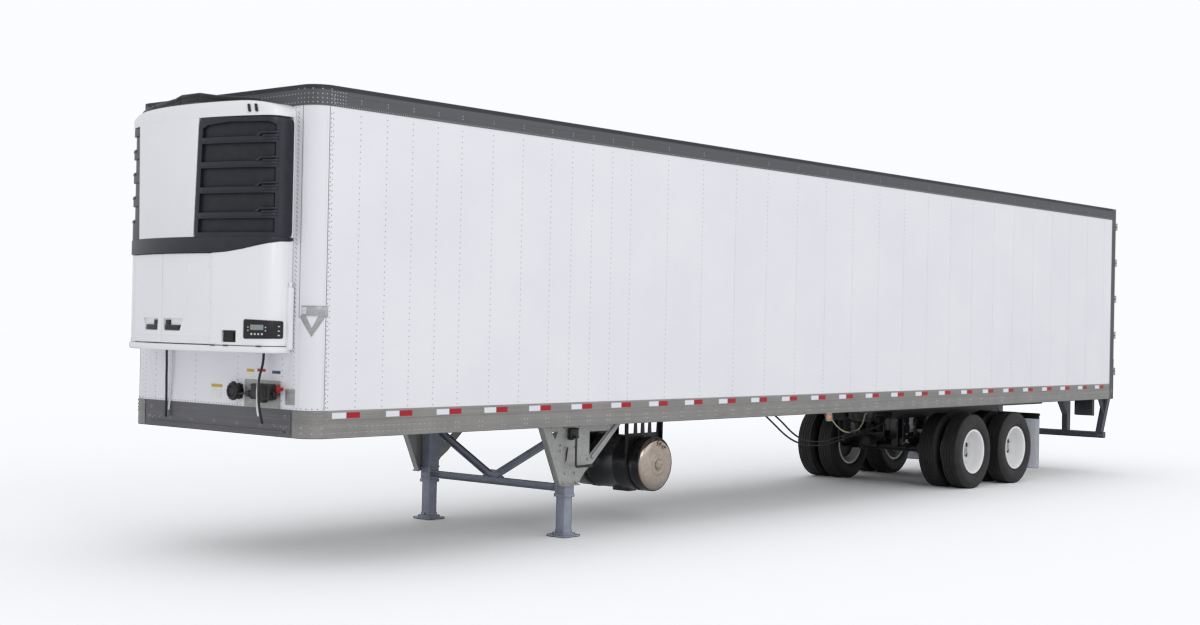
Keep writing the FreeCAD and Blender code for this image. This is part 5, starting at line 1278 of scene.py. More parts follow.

# %% [markdown]
# A wheel is pressed from one disc and a rolled rim. Its hand holes are made by taking a patch of faces on
# the dish and pushing it in, then rounding the patch's corners; each pocket's floor is painted black, as
# painted shade for the dark seen through a real hole. Ten flanged nuts clamp the pair to the hub, which ends
# in a turned cap with its own ring of small bolts. Behind the wheels sits the brake drum with its ribs.

# %% Wheels, nuts and hubs
RIM = [(0.284, DUAL + 0.094), (0.2845, DUAL + 0.108), (0.298, DUAL + 0.1085), (0.302, DUAL + 0.113),
       (0.3015, DUAL + 0.119), (0.296, DUAL + 0.122), (0.286, DUAL + 0.1215), (0.276, DUAL + 0.117),
       (0.273, DUAL + 0.108), (0.267, DUAL + 0.080), (0.263, DUAL + 0.030), (0.260, DUAL - 0.004),
       (0.256, DUAL - 0.022), (0.248, DUAL - 0.038), (0.236, 0.104), (0.214, 0.058), (0.204, 0.036),
       (0.194, 0.023), (0.180, 0.016), (0.160, 0.014), (0.119, 0.014)]
HOLE_RADIUS, HOLE_ALONG = (0.236 + 0.214) / 2, (0.104 + 0.058) / 2
HUB = [(0.118, 0.012), (0.118, 0.026), (0.104, 0.032), (0.092, 0.038), (0.086, 0.050), (0.083, 0.112),
       (0.090, 0.116), (0.090, 0.130), (0.084, 0.134), (0.070, 0.136), (0.066, 0.152), (0.058, 0.162),
       (0.046, 0.1655), (0.024, 0.1655), (0.020, 0.160), (0.0, 0.160)]
DRUM = [(0.060, -0.200), (0.060, -0.190), (0.196, -0.190), (0.196, -0.200), (0.207, -0.200), (0.2085, -0.186),
        (0.2055, -0.180), (0.2055, -0.150), (0.2085, -0.146), (0.2055, -0.142), (0.2055, -0.112), (0.2085,
                                                                                                   -0.108),
        (0.2055, -0.104), (0.2055, -0.074), (0.2085, -0.070), (0.2055, -0.066), (0.2045, -0.040), (0.190,
                                                                                                   -0.024),
        (0.140, -0.022), (0.118, -0.022)]
NUT = ((0.0235, 0.002, 0.010, 24), (0.0165, 0.010, 0.032, 6), (0.0110, 0.032, 0.052, 12))  # flange, nut, stud


def hand_holes(bm, centre, axis):
    """Push in ten patches of the dish, and paint their floors black: painted shade for the dark seen through a
    hole.
    """
    for index in range(10):
        patch = []
        for face in bm.faces:
            at = face.calc_center_median() - centre
            turn = (math.atan2(at.z, at.x) - math.tau * (index + 0.5) / 10) % math.tau
            if abs(math.hypot(at.x, at.z) - HOLE_RADIUS) < 0.004 and abs(at.y * axis - HOLE_ALONG) < 0.02 and \
                    min(turn, math.tau - turn) < math.tau / 44:
                patch.append(face)
        outward = sum((f.normal for f in patch), Vector()).y * axis > 0
        pushed = push_out(bm, patch, (0, axis * (-0.030 if outward else 0.030), 0))
        bmesh.ops.delete(bm, geom=[f for f in patch if f.is_valid], context="FACES")
        walls = {e for v in pushed for e in v.link_edges if e.other_vert(v) not in pushed}
        ends = [e for e in walls if len(e.link_faces) == 2 and e.calc_face_angle(0) > 0.6]
        # Painted shade: each pocket's floor takes the second material, black, for the dark seen through a real
        # hand hole
        for face in {f for v in pushed for f in v.link_faces if all(w in pushed for w in f.verts)}:
            face.material_index = 1
        soften(bm, ends, 0.012, 3)


def ring(centre, radius, out, count, phase=0.0):
    """Places evenly round an axle."""
    for index in range(count):
        turn = math.tau * (index + phase) / count
        yield centre + Vector((math.cos(turn) * radius, out, math.sin(turn) * radius))


for name, side, centre in WHEELS:
    body = f"{name}_wheels"
    rims, nuts, drum = bmesh.new(), bmesh.new(), bmesh.new()
    for axis in (side, -side):
        half = bmesh.new()
        spun(half, RIM, centre, (0, axis, 0), 120)
        bmesh.ops.recalc_face_normals(half, faces=half.faces)
        hand_holes(half, centre, axis)
        bmesh.ops.solidify(half, geom=half.faces[:], thickness=0.006)
        gather(rims, half)
    # The second material, black, is the painted shade on the hand holes' floors
    piece(f"{body}_rims", rims, (wheel_enamel, black_paint_and_hole_shade), "wheel_white", body=body, smooth=40,
          stands_for=(body,))
    for spot in ring(centre, 0.1429, side * 0.012, 10, 0.5):
        for radius, start, stop, sides in NUT:
            bar(nuts, spot + Vector((0, side * start, 0)), spot + Vector((0, side * stop, 0)), radius, sides,
                0.0015)
    spun(nuts, HUB, centre, (0, side, 0), 40)
    for spot in ring(centre, 0.079, side * 0.132, 6):
        stud(nuts, spot, (0, side * 0.007, 0), 0.006, 6, 0.0008)
    stud(nuts, centre + Vector((0.236, side * 0.13, 0.02)), (-0.011, side * 0.085, 0), 0.004, 10)
    piece(f"{body}_hub_and_nuts", nuts, galvanised, "galvanised_steel", body=body)
    spun(drum, DRUM, centre, (0, side, 0), 56)
    piece(f"{body}_drum", drum, cast_grey, "frame_steel", body=body)
print("wheels made")

# %% [markdown]
# ## Landing gear
# Two telescopic legs hold the parked trailer. Each is a square tube that slides in a larger one, with a
# collar, bolt heads, a pin through its foot and a dished sand shoe.

# %% Legs and shoes
LEG_X, LEG_Y = middle("landing_legs").x, high("landing_legs").y - 0.070


def square(x, y, z, half):
    """A level square round a place."""
    return [(x - half, y - half, z), (x + half, y - half, z), (x + half, y + half, z), (x - half, y + half, z)]


for side, hand in SIDES:
    leg, shoe = bmesh.new(), bmesh.new()
    leg_y = side * LEG_Y
    for half, bottom, rise, corner, edge in (
            (0.0695, 0.402, RAIL_LOW - 0.402, 0.012, 0), (0.0765, 0.402, 0.028, 0.014, 0.004),
            (0.0765, 0.560, 0.012, 0.014, 0.003), (0.0570, 0.034, 0.400, 0.010, 0),
            (0.0850, 0.018, 0.022, 0.012, 0.004), (0.0620, 0.040, 0.030, 0.010, 0.006)):
        plate(leg, square(LEG_X, leg_y, bottom, half), (0, 0, rise), edge, corner)
    for rise in (0.452, 0.505):
        for shift in (-0.03, 0.03):
            stud(leg, (LEG_X + 0.066, leg_y + side * shift, rise), (0.013, 0, 0), 0.010)
    for rise in (0.70, 0.78, 0.95, 1.03):
        stud(leg, (LEG_X + 0.066, leg_y - side * 0.045, rise), (0.014, 0, 0), 0.011)
    stud(leg, (LEG_X - 0.080, leg_y, 0.056), (0.160, 0, 0), 0.012, 12, 0.002)
    for index in range(6):
        stud(leg, (LEG_X, side * (LEG_Y + 0.0565), 0.120 + index * 0.045), (0, side * 0.0015, 0), 0.0035, 8, 0)
    piece(f"{hand}_landing_leg", leg, gear_grey, "gear_paint", stands_for=("landing_legs", "landing_feet"))
    plate(shoe, square(LEG_X, leg_y, 0.0, 0.1275), (0, 0, 0.020), 0.003, 0.030)
    lifted = {v for v in shoe.verts if v.co.z > 0.010}
    for vert in shoe.verts:
        away = max(abs(vert.co.x - LEG_X), abs(vert.co.y - leg_y))
        if vert in lifted:
            vert.co.z = 0.014 + max(0.0, away - 0.095) * 0.16
        if vert.co.z < 0.010:
            vert.co.z += max(0.0, away - 0.110) * 0.30
    piece(f"{hand}_sand_shoe", shoe, gear_grey, "gear_paint")
print("legs made")

# %% [markdown]
# Outside each leg stands a wing plate with a window and a slot cut through it. A hole through a flat plate
# needs no boolean: its outline is cut into the plate's one face, the patch inside is deleted, and only then
# is the face pushed out to its thickness. Folded channels brace the legs across the body.

# %% Wing plates with their window, slot, folds and bolts


def pierced(bm, corners, holes, push, edge=0.0):
    """A flat outline with convex holes, pushed out to a plate with its outer edges rounded."""
    made = bmesh.new()
    made.faces.new([made.verts.new(place) for place in corners])
    facing = Vector(push).normalized()
    for hole in holes:
        inside = cut_outline(made, hole, facing)
        bmesh.ops.delete(made, geom=[f for f in made.faces if inside(f)], context="FACES")
    push_out(made, made.faces[:], push)
    bmesh.ops.recalc_face_normals(made, faces=made.faces)
    if edge:
        sharp = [e for e in made.edges if len(e.link_faces) == 2 and e.calc_face_angle(0) > 1.0 and
                 abs((e.verts[0].co - e.verts[1].co).dot(facing)) < 1e-6]
        soften(made, sharp, edge, 1)
    bmesh.ops.dissolve_limit(made, angle_limit=0.01, verts=made.verts, edges=made.edges)
    gather(bm, made)


def channel(bm, start, end, side, wide, lip, thick=0.007):
    """A folded channel between two points: a web `wide` across, and a lip along each edge towards `side`."""
    start, end, side = Vector(start), Vector(end), Vector(side).normalized()
    across = (end - start).normalized().cross(side) * wide / 2
    plate(bm, [start - across, end - across, end + across, start + across], side * thick, thick * 0.3)
    for edge in (-1, 1):
        rim = across * edge
        inner = across * (edge * (1 - 2 * thick / wide))
        plate(bm, [start + rim, end + rim, end + inner, start + inner], side * lip, thick * 0.3)


WING = [(0.430, RAIL_LOW), (0.150, 0.520), (-0.110, 0.520), (-0.230, 0.650), (-0.325, 0.712),
        (-0.800, RAIL_LOW)]
WINDOW = [(-0.285, 1.050), (-0.575, 1.050), (-0.285, 0.812)]
SLOT = [(0.290, 1.065), (0.200, 1.065), (0.235, 0.985)]
FOLD = [(0.430, RAIL_LOW), (0.150, 0.520), (0.144, 0.520), (0.424, RAIL_LOW)]
STIFFENER = [(-0.300, 0.800), (-0.700, RAIL_LOW - 0.005), (-0.750, RAIL_LOW - 0.005), (-0.330, 0.770)]
WING_BOLTS = ((0.110, 0.545), (-0.080, 0.545), (0.085, 0.640), (-0.060, 0.640), (0.085, 0.760),
              (-0.060, 0.900),
              (0.085, 0.900), (0.10, 1.100), (0.30, 1.112), (0.36, 1.112), (-0.12, 1.112), (-0.45, 1.112),
              (-0.62, 1.112), (-0.26, 0.770), (-0.33, 0.790), (0.16, 0.93), (0.16, 0.87))
for side, hand in SIDES:
    wing = bmesh.new()
    face_y = side * (LEG_Y + 0.0702)
    outer = face_y + side * 0.0072
    flat = [[(LEG_X + x, face_y, z) for x, z in outline] for outline in (WING, WINDOW, SLOT, FOLD)]
    pierced(wing, flat[0], flat[1:3], (0, side * 0.0076, 0), 0.0015)
    plate(wing, flat[3], (0, -side * 0.060, 0), 0.001)
    plate(wing, [(LEG_X + x, y, 0.520) for x, y in ((0.150, face_y), (-0.110, face_y),
                                                    (-0.110, face_y + side * 0.040),
                                                    (0.150, face_y + side * 0.040))], (0, 0, 0.008), 0.001)
    plate(wing, [(LEG_X + x, face_y + side * 0.0076, z) for x, z in STIFFENER], (0, side * 0.016, 0), 0.003)
    for x, z in WING_BOLTS:
        stud(wing, (LEG_X + x, outer, z), (0, side * 0.004, 0), 0.013, 16, 0)
        stud(wing, (LEG_X + x, outer + side * 0.004, z), (0, side * 0.009, 0), 0.009)
    piece(f"{hand}_wing_plate", wing, galvanised, "gear_paint", stands_for=("landing_braces",))
braces = bmesh.new()
BRACE_X, INNER = LEG_X + 0.008, LEG_Y - 0.068
channel(braces, (BRACE_X, -INNER, 0.490), (BRACE_X, INNER, 0.490), AHEAD, 0.070, 0.050)
for side in (1, -1):
    channel(braces, (BRACE_X + 0.002, side * INNER, 1.012), (BRACE_X + 0.002, side * 0.040, 0.548), AHEAD,
            0.068, 0.044)
    plate(braces, [(BRACE_X + 0.046, side * (INNER - y), z) for y, z in (
        (0, 1.060), (0.13, 0.985), (0.10, 0.900), (0, 0.930))], (0.006, 0, 0), 0.001)
    for y, z in ((0.03, 1.00), (0.07, 0.965), (0.03, 0.49), (0.07, 0.49)):
        stud(braces, (BRACE_X + 0.007, side * (INNER - y), z), (0.013, 0, 0), 0.010)
plate(braces, [(BRACE_X + 0.009, y, z) for y, z in ((-0.16, 0.525), (0.16, 0.525), (0.05, 0.600),
                                                    (-0.05, 0.600))],
      (0.007, 0, 0), 0.001)
piece("cross_braces", braces, gear_grey, "gear_paint")
print("wing plates and braces made")

# %% [markdown]
# One person winds both legs: a crank on the left turns a gearbox on each leg through a cross shaft. The
# crank hangs folded down, its handle caught in a clip on the wing plate.

# %% Gearbox, shaft and crank
crank = bmesh.new()
OUT_Y = LEG_Y + 0.078
ARM_Y = OUT_Y + 0.089
stud(crank, (LEG_X + 0.030, -INNER - 0.002, 1.085), (0, 2 * INNER + 0.004, 0), 0.0140, 20, 0.002)
block(crank, (LEG_X - 0.072, OUT_Y, 0.990), (LEG_X + 0.052, OUT_Y + 0.044, 1.098), 0.012, 3)
spun(crank, [(0.0, 0.052), (0.020, 0.052), (0.026, 0.046), (0.034, 0.044), (0.036, 0.0), (0.0, 0.0)],
     (LEG_X + 0.020, OUT_Y, 1.010), (0, 1, 0), 24)
for x, z in ((-0.060, 1.002), (-0.060, 1.086), (0.040, 1.086), (-0.010, 1.088)):
    stud(crank, (LEG_X + x, OUT_Y + 0.040, z), (0, 0.009, 0), 0.008)
stud(crank, (LEG_X + 0.020, OUT_Y + 0.044, 1.010), (0, 0.052, 0), 0.0125, 16, 0.002)
plate(crank, [(LEG_X + x, ARM_Y - 0.006, z) for x, z in ((0.008, 1.028), (0.032, 1.028), (0.030, 0.722),
                                                         (0.010, 0.722))],
      (0, 0.012, 0), 0.004)
jointed(crank, [(LEG_X + x, ARM_Y, z) for x, z in ((0.022, 0.730), (0.006, 0.713), (-0.226, 0.713))], 0.0125,
        edge=0.002)
stud(crank, (LEG_X - 0.130, ARM_Y, 0.713), (-0.096, 0, 0), 0.0155, 20, 0.003)
bar(crank, (LEG_X + 0.075, OUT_Y, 0.760), (LEG_X + 0.060, OUT_Y + 0.012, 0.905), 0.007, 12, 0.002)
block(crank, (LEG_X - 0.200, OUT_Y, 0.700), (LEG_X - 0.172, OUT_Y + 0.100, 0.704), 0.0015)
block(crank, (LEG_X - 0.200, OUT_Y + 0.098, 0.700), (LEG_X - 0.172, OUT_Y + 0.102, 0.722), 0.0015)
piece("crank_and_gearbox", crank, black_paint_and_hole_shade, "gear_paint", stands_for=("landing_crank",))
print("crank made")

# %% [markdown]
# ## Fuel tank
# The unit's diesel tank hangs across the body. It is a rolled shell with pressed ends, a rolled collar at
# its left, and a spun aluminium end that carries the filler. Two black hangers hold it with steel straps.

# %% Tank, end, straps and hangers
TANK = Vector((FRONT - 5.150, 0.870, 0.640))


def by_tank(x, y, z):
    return TANK + Vector((x, y, z))


shell, end_cap, mark, hangers = (bmesh.new() for _ in range(4))
skin = [(0.0, -1.085), (0.120, -1.083), (0.205, -1.070), (0.258, -1.045), (0.284, -1.012), (0.290, -0.985)]
for seam in (-0.72, -0.36):
    skin += [(0.290, seam - 0.008), (0.2925, seam - 0.004), (0.2925, seam + 0.004), (0.290, seam + 0.008)]
skin += [(0.290, -0.094), (0.292, -0.090), (0.2955, -0.087), (0.2955, -0.006), (0.293, 0.0), (0.284, 0.002),
         (0.280, -0.004)]
spun(shell, skin, TANK, (0, 1, 0), 96)
block(shell, by_tank(-0.088, -0.540, -0.318), by_tank(0.058, -0.312, -0.262), 0.010, 3)
stud(shell, by_tank(-0.02, -0.36, -0.319), (0, 0, 0.019), 0.020, 20, 0.003)
piece("tank_shell", shell, tank_black, "tank_black", stands_for=("fuel_tank",))
spun(end_cap, [(0.283, -0.006), (0.2835, 0.006), (0.280, 0.013), (0.272, 0.018), (0.262, 0.028),
               (0.250, 0.0335),
               (0.200, 0.0405), (0.150, 0.0455), (0.112, 0.0475), (0.108, 0.0490), (0.104, 0.0475), (0.066,
                                                                                                     0.0490),
               (0.060, 0.0520), (0.057, 0.066), (0.052, 0.0695), (0.044, 0.0705), (0.040, 0.0790), (0.034,
                                                                                                    0.0815),
               (0.012, 0.0815), (0.010, 0.076), (0.0, 0.076)], TANK, (0, 1, 0), 96)
for x, z, radius, tall in ((-0.030, 0.215, 0.036, 0.030), (-0.112, 0.178, 0.026, 0.024)):
    spun(end_cap, [(0.0, tall), (radius * 0.5, tall), (radius * 0.56, tall - 0.004), (radius * 0.60, 0.012),
                   (radius, 0.010), (radius, 0.0), (0.0, 0.0)], by_tank(x, 0.036, z), (0, 1, 0), 24)
    stud(end_cap, by_tank(x, 0.036 + tall, z), (0, 0.010, 0), radius * 0.42, 6, 0.002)
piece("tank_end", end_cap, polished, "tank_black")
block(mark, by_tank(-0.030, 0.0375, -0.205), by_tank(0.030, 0.0400, -0.145), 0.0006)
piece("tank_blank_label", mark, label_white, "white_panel")
SADDLE = [(0.2945 * math.cos(turn), 0.640 + 0.2945 * math.sin(turn))
          for turn in [math.radians(25 + 13 * index) for index in range(11)]]
HANGER = ([(-0.300, BEAM - 0.002), (0.300, BEAM - 0.002), (0.300, 0.760), (0.262, 0.760)] + SADDLE +
          [(-0.262, 0.760), (-0.300, 0.760)])
HOLES = [[(left, 1.100), (right, 1.100), (right - 0.01, 0.965), (left + 0.01, 0.965)]
         for left, right in ((-0.255, -0.140), (-0.105, -0.020), (0.020, 0.105), (0.140, 0.255))]
for y in (0.060, 0.690):
    outline, *holes = [[(TANK.x + x, y, z) for x, z in shape] for shape in [HANGER] + HOLES]
    pierced(hangers, outline, holes, (0, 0.006, 0))
    for left, right in ((-0.300, -0.294), (0.294, 0.300)):
        plate(hangers, [(TANK.x + x, y, z) for x, z in box_outline(left, right, BEAM - 0.002, 0.760)],
              (0, 0.045, 0), 0.001)
    spun(hangers, [(0.2935, 0.004), (0.2975, 0.004), (0.2975, 0.041), (0.2935, 0.041), (0.2935, 0.004)],
         (TANK.x, y, 0.640), (0, 1, 0), 72)
    for x in (TANK.x - 0.302, TANK.x + 0.302):
        stud(hangers, (x, y + 0.022, 0.640), (0, 0, 0.135), 0.007, 12)
        stud(hangers, (x, y + 0.022, 0.700), (0, 0, 0.014), 0.013)
piece("tank_hangers", hangers, black_paint_and_hole_shade, "tank_black", stands_for=("fuel_tank_brackets",))
print("tank made")

# %% [markdown]
# ## Bogie
# The bogie carries the body on air springs. A spring is a rubber bellows rolled over a piston, a turned
# shape like the chambers that work the brakes and the reservoirs that feed both. The frame and axles keep
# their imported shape, and get the bolts, pins and clamps that hold them.

# %% Air springs, shock absorbers, brake chambers
BEAM_Y = 0.470  # middle of the bogie's long beams
ARM_TOP = low("air_springs").z
TALL = BEAM - 0.200 - ARM_TOP  # room for a spring
BELLOWS = [(0.072, 0.010), (0.086, 0.024), (0.088, 0.070), (0.080, 0.100), (0.084, 0.108), (0.104, 0.112),
           (0.112, 0.128), (0.1140, 0.160), (0.1145, 0.200), (0.112, TALL - 0.034), (0.104, TALL - 0.018),
           (0.090, TALL - 0.010), (0.0, TALL - 0.010)]
SEAT = [(0.0, 0.001), (0.074, 0.001), (0.077, 0.006), (0.074, 0.012), (0.0, 0.012)]
LID = [(0.0, TALL - 0.012), (0.098, TALL - 0.012), (0.100, TALL - 0.001), (0.0, TALL - 0.001)]
SHOCK = [(0.0, 0.001), (0.024, 0.001), (0.026, 0.010), (0.018, 0.020), (0.026, 0.024), (0.027, 0.140),
         (0.014, 0.142), (0.014, 0.150), (0.031, 0.152), (0.0315, TALL - 0.030), (0.026, TALL - 0.020),
         (0.020, TALL - 0.001), (0.0, TALL - 0.001)]
CHAMBER = [(0.0, 0.0), (0.048, 0.0), (0.066, 0.008), (0.076, 0.030), (0.078, 0.062), (0.0815, 0.066),
           (0.0815, 0.078), (0.077, 0.082), (0.076, 0.120), (0.0700, 0.142), (0.066, 0.150), (0.068, 0.160),
           (0.0695, 0.200), (0.066, 0.226), (0.052, 0.238), (0.022, 0.240), (0.018, 0.2395), (0.0, 0.2395)]
springs, metal, chambers, tanks, fixings = (bmesh.new() for _ in range(5))
for axle_x in AXLES.values():
    for side in (1, -1):
        seat, shock = ((axle_x + x, side * BEAM_Y, ARM_TOP) for x in (-0.390, 0.190))
        pot = Vector((axle_x + 0.100, side * 0.240, 0.580))
        spun(springs, BELLOWS, seat, (0, 0, 1), 40)
        spun(metal, SEAT, seat, (0, 0, 1), 32)
        spun(metal, LID, seat, (0, 0, 1), 32)
        spun(metal, SHOCK, shock, (0, 0, 1), 24)
        spun(chambers, CHAMBER, pot, AHEAD, 40)
        for rise in (-0.058, 0.058):
            stud(chambers, pot + Vector((0.062, side * 0.050, rise)), (0.022, 0, 0), 0.008)
piece("air_spring_bellows", springs, hose_rubber, "rubber", stands_for=("air_springs",))
piece("spring_seats_and_shocks", metal, black_paint_and_hole_shade, "frame_steel")
piece("brake_chamber_bodies", chambers, cast_grey, "frame_steel", stands_for=("brake_chambers",))
reservoir = middle("air_reservoirs")
DOME = [(0.0, 0.0), (0.050, 0.003), (0.088, 0.014), (0.110, 0.032), (0.1185, 0.056)]
DRUM_WALL = [(0.1185, 0.176), (0.1195, 0.178), (0.1195, 0.184), (0.1185, 0.186)]
VESSEL = DOME + DRUM_WALL + [(radius, 0.360 - along) for radius, along in reversed(DOME)]
STRAP = [(0.1180, 0.0), (0.1200, 0.0), (0.1200, 0.026), (0.1180, 0.026), (0.1180, 0.0)]
for start in (-0.380, 0.020):
    for section, along in ((VESSEL, 0), (STRAP, 0.085), (STRAP, 0.265)):
        spun(tanks, section, (reservoir.x, start + along, reservoir.z), (0, 1, 0), 48)
piece("air_tanks", tanks, black_paint_and_hole_shade, "frame_steel", stands_for=("air_reservoirs",))
PINS = [(0.52, 0.625, 0.016, 0.026, 0.002), (0.52, 0.72, 0.016, 0.014, 0.002)]
PINS += [(x, z, 0.010, 0.011, 0.001) for x in (0.46, 0.58) for z in (0.60, 0.86)]
for side in (1, -1):
    outer = side * (BEAM_Y + 0.050)
    for axle_x in AXLES.values():
        for x, z, out, radius, edge in PINS:
            stud(fixings, (axle_x + x, outer, z), (0, side * out, 0), radius, 6, edge)
    rivet_rows(fixings, (AXLES["rear"] - 2.3, outer, BEAM - 0.050), (0, side, 0), [((6 * INCH, 0, 0), 34)],
               0.017, 0.0030, 16)
piece("bogie_bolts_and_pins", fixings, galvanised, "galvanised_steel", turn_out=False)
print("bogie dressed")

# %% [markdown]
# Behind the wheels hang two mudflaps, sheets of white polymer that are stiffened by a few moulded ribs and
# clamped under a black bar.

# %% Mudflaps
FLAP_X = middle("mudflaps").x
for side, hand in SIDES:
    flap, clamp = bmesh.new(), bmesh.new()
    near, far = sorted((side * 0.642, side * 1.243))
    plate(flap, [(FLAP_X - 0.003, y, z) for y, z in box_outline(near, far, 0.162, 0.925)], (0.006, 0, 0),
          0.001, 0.02)
    for index in range(9):
        y = near + 0.060 + index * 0.060
        block(flap, (FLAP_X + 0.0030, y - 0.006, 0.190), (FLAP_X + 0.0055, y + 0.006, 0.885), 0.0012)
    piece(f"{hand}_mudflap", flap, flap_white, "rubber", stands_for=("mudflaps",))
    block(clamp, (FLAP_X - 0.018, side * 0.520, 0.932), (FLAP_X + 0.018, side * 1.245, 0.964), 0.004)
    block(clamp, (FLAP_X + 0.003, near, 0.885), (FLAP_X + 0.008, far, 0.935), 0.001)
    for index in range(5):
        stud(clamp, (FLAP_X + 0.008, near + 0.050 + index * 0.125, 0.905), (0.007, 0, 0), 0.009)
    piece(f"{hand}_flap_clamp", clamp, black_paint_and_hole_shade, "frame_steel")
print("mudflaps made")

# %% [markdown]
# A turn lamp sits in a bright bracket under each rail, halfway back. Round lamps are a turned rim with a
# domed lens in it: one low on each side, three small ones over the doors, and two in each box beside the
# rear guard.

# %% Lamps
brackets, ambers, reds, boxes = (bmesh.new() for _ in range(4))
GUARD_X = high("rear_impact_guard").x - 0.200
TURN_X, TURN_LOW = FRONT - 7.960, RAIL_LOW - 0.096
BOX_X, BOX_LOW = GUARD_X - 0.088, 0.857
SIDE_RIM = [(0.029, 0.0), (0.0295, 0.003), (0.026, 0.0045), (0.024, 0.003), (0.024, 0.0)]
SIDE_LENS = [(0.024, 0.0), (0.023, 0.004), (0.016, 0.0068), (0.0, 0.0078)]
TAIL_RIM = [(0.062, 0.0), (0.064, 0.008), (0.058, 0.012), (0.055, 0.008), (0.055, 0.0)]
TAIL_LENS = [(0.055, 0.0), (0.054, 0.008), (0.044, 0.0115), (0.030, 0.0135), (0.0, 0.0145)]
TOP_RIM = [(0.017, 0.0), (0.0175, 0.004), (0.014, 0.006), (0.013, 0.004), (0.013, 0.0)]
TOP_LENS = [(0.013, 0.0), (0.012, 0.005), (0.0, 0.008)]


def round_lamp(holder, rim, lens, spot, facing, sides):
    spun(holder, rim, spot, facing, sides)
    spun(reds, lens, spot, facing, sides)


for side in (1, -1):
    y = side * (RAIL_Y - 0.014)
    for left, right, bottom, top, out, edge in (
            (-0.060, 0.060, 0, 0.096, 0.003, 0.001), (-0.062, -0.048, 0, 0.096, 0.014, 0.002),
            (0.048, 0.062, 0, 0.096, 0.014, 0.002), (-0.062, 0.062, 0, 0.014, 0.014, 0.002),
            (-0.062, 0.062, 0.080, 0.096, 0.014, 0.002)):
        block(brackets, (TURN_X + left, y, TURN_LOW + bottom),
              (TURN_X + right, y + side * out, TURN_LOW + top), edge)
    block(ambers, (TURN_X - 0.038, y, TURN_LOW + 0.022), (TURN_X + 0.038, y + side * 0.013, TURN_LOW + 0.072),
          0.006, 3)
    round_lamp(brackets, SIDE_RIM, SIDE_LENS, (REAR + 0.065, side * RAIL_Y, RAIL_LOW + 0.120), (0, side, 0),
               32)
    lamp_y = side * (RAIL_Y - 0.408)
    near, far = lamp_y - 0.146, lamp_y + 0.146
    block(boxes, (BOX_X + 0.016, near, 0.862), (GUARD_X - 0.012, far, RAIL_LOW), 0.006)
    for left, right, bottom, top in ((near, far, BOX_LOW, 0.880), (near, far, 1.060, RAIL_LOW),
                                     (near, near + 0.016, BOX_LOW, RAIL_LOW), (far - 0.016, far, BOX_LOW,
                                                                               RAIL_LOW)):
        block(boxes, (BOX_X, left, bottom), (BOX_X + 0.020, right, top), 0.003)
    for shift in (-0.070, 0.070):
        round_lamp(boxes, TAIL_RIM, TAIL_LENS, (BOX_X + 0.016, lamp_y + shift, 0.970), BACK, 40)
for y in (-0.155, 0.0, 0.155):
    round_lamp(brackets, TOP_RIM, TOP_LENS, (REAR, y, ROOF_TOP - 0.060), BACK, 24)
piece("lamp_brackets", brackets, galvanised, "galvanised_steel")
piece("turn_lamps", ambers, amber_lens, "lamp_plastic", stands_for=("lamps",))
piece("tail_lamps", reds, red_lens, "lamp_plastic")
piece("lamp_boxes", boxes, frame_grey, "frame_steel")
print("lamps made")

# %% [markdown]
# ## Rear doors
# Two doors swing right round to the sides on five hinges each, and two lock rods on each hold them shut: a
# cam at either end of a rod hooks behind a keeper on the frame. Straps, guides, cams and handles are forged
# and galvanised, so they get rounded corners and bolt heads. A grey rubber seal runs round each door.

# %% Hinges, lock rods, handles
DOOR_LOW, DOOR_HIGH = low("left_rear_door").z, high("left_rear_door").z
DOOR_EDGE, DOOR_MID = high("left_rear_door").y, low("left_rear_door").y
HINGE_X, HINGE_Y = REAR - 0.065, RAIL_Y - 0.0124
RISES, GUIDES = ([DOOR_LOW + share * (DOOR_HIGH - DOOR_LOW) for share in shares]
                 for shares in ((0.06, 0.28, 0.5, 0.72, 0.94), (0.02, 0.3, 0.68, 0.98)))
GRIP = DOOR_LOW + 0.430
RODS = (0.320, 0.900)
TAPE_LONG, TAPE_PITCH, RED_SHIFT = 0.150, 0.312, 0.156
HINGE_PLAN = [(0.0, DOOR_EDGE - 0.140), (0.0, DOOR_EDGE), (-0.005, DOOR_EDGE), (-0.005, HINGE_Y - 0.040),
              (-0.034, HINGE_Y - 0.040), (-0.053, HINGE_Y - 0.006), (-0.056, HINGE_Y + 0.006),
              (-0.070, HINGE_Y + 0.004), (-0.074, HINGE_Y - 0.012), (-0.070, HINGE_Y - 0.054),
              (-0.044, HINGE_Y - 0.062), (-0.042, DOOR_EDGE - 0.019), (-0.012, DOOR_EDGE - 0.024),
              (-0.010, DOOR_EDGE - 0.140)]
GUIDE = [(0.0140, -0.016), (0.0175, -0.016), (0.0190, -0.013), (0.0190, 0.013), (0.0175, 0.016),
         (0.0140, 0.016),
         (0.0140, -0.016)]
CAM = [(-0.044, -0.014), (-0.040, -0.021), (-0.022, -0.022), (-0.010, -0.020), (-0.009, -0.008),
       (-0.016, 0.004),
       (-0.009, 0.012), (-0.010, 0.021), (-0.030, 0.022), (-0.042, 0.016)]
HANDLE = [(-0.012, -0.013), (0.040, -0.014), (0.140, -0.010), (0.250, -0.013), (0.259, 0.0), (0.250, 0.013),
          (0.140, 0.010), (0.040, 0.014), (-0.012, 0.013)]


def tape_starts(first, shift, count):
    """Where each strip of one colour starts, from a first place."""
    return [first + shift + index * TAPE_PITCH for index in range(count)]


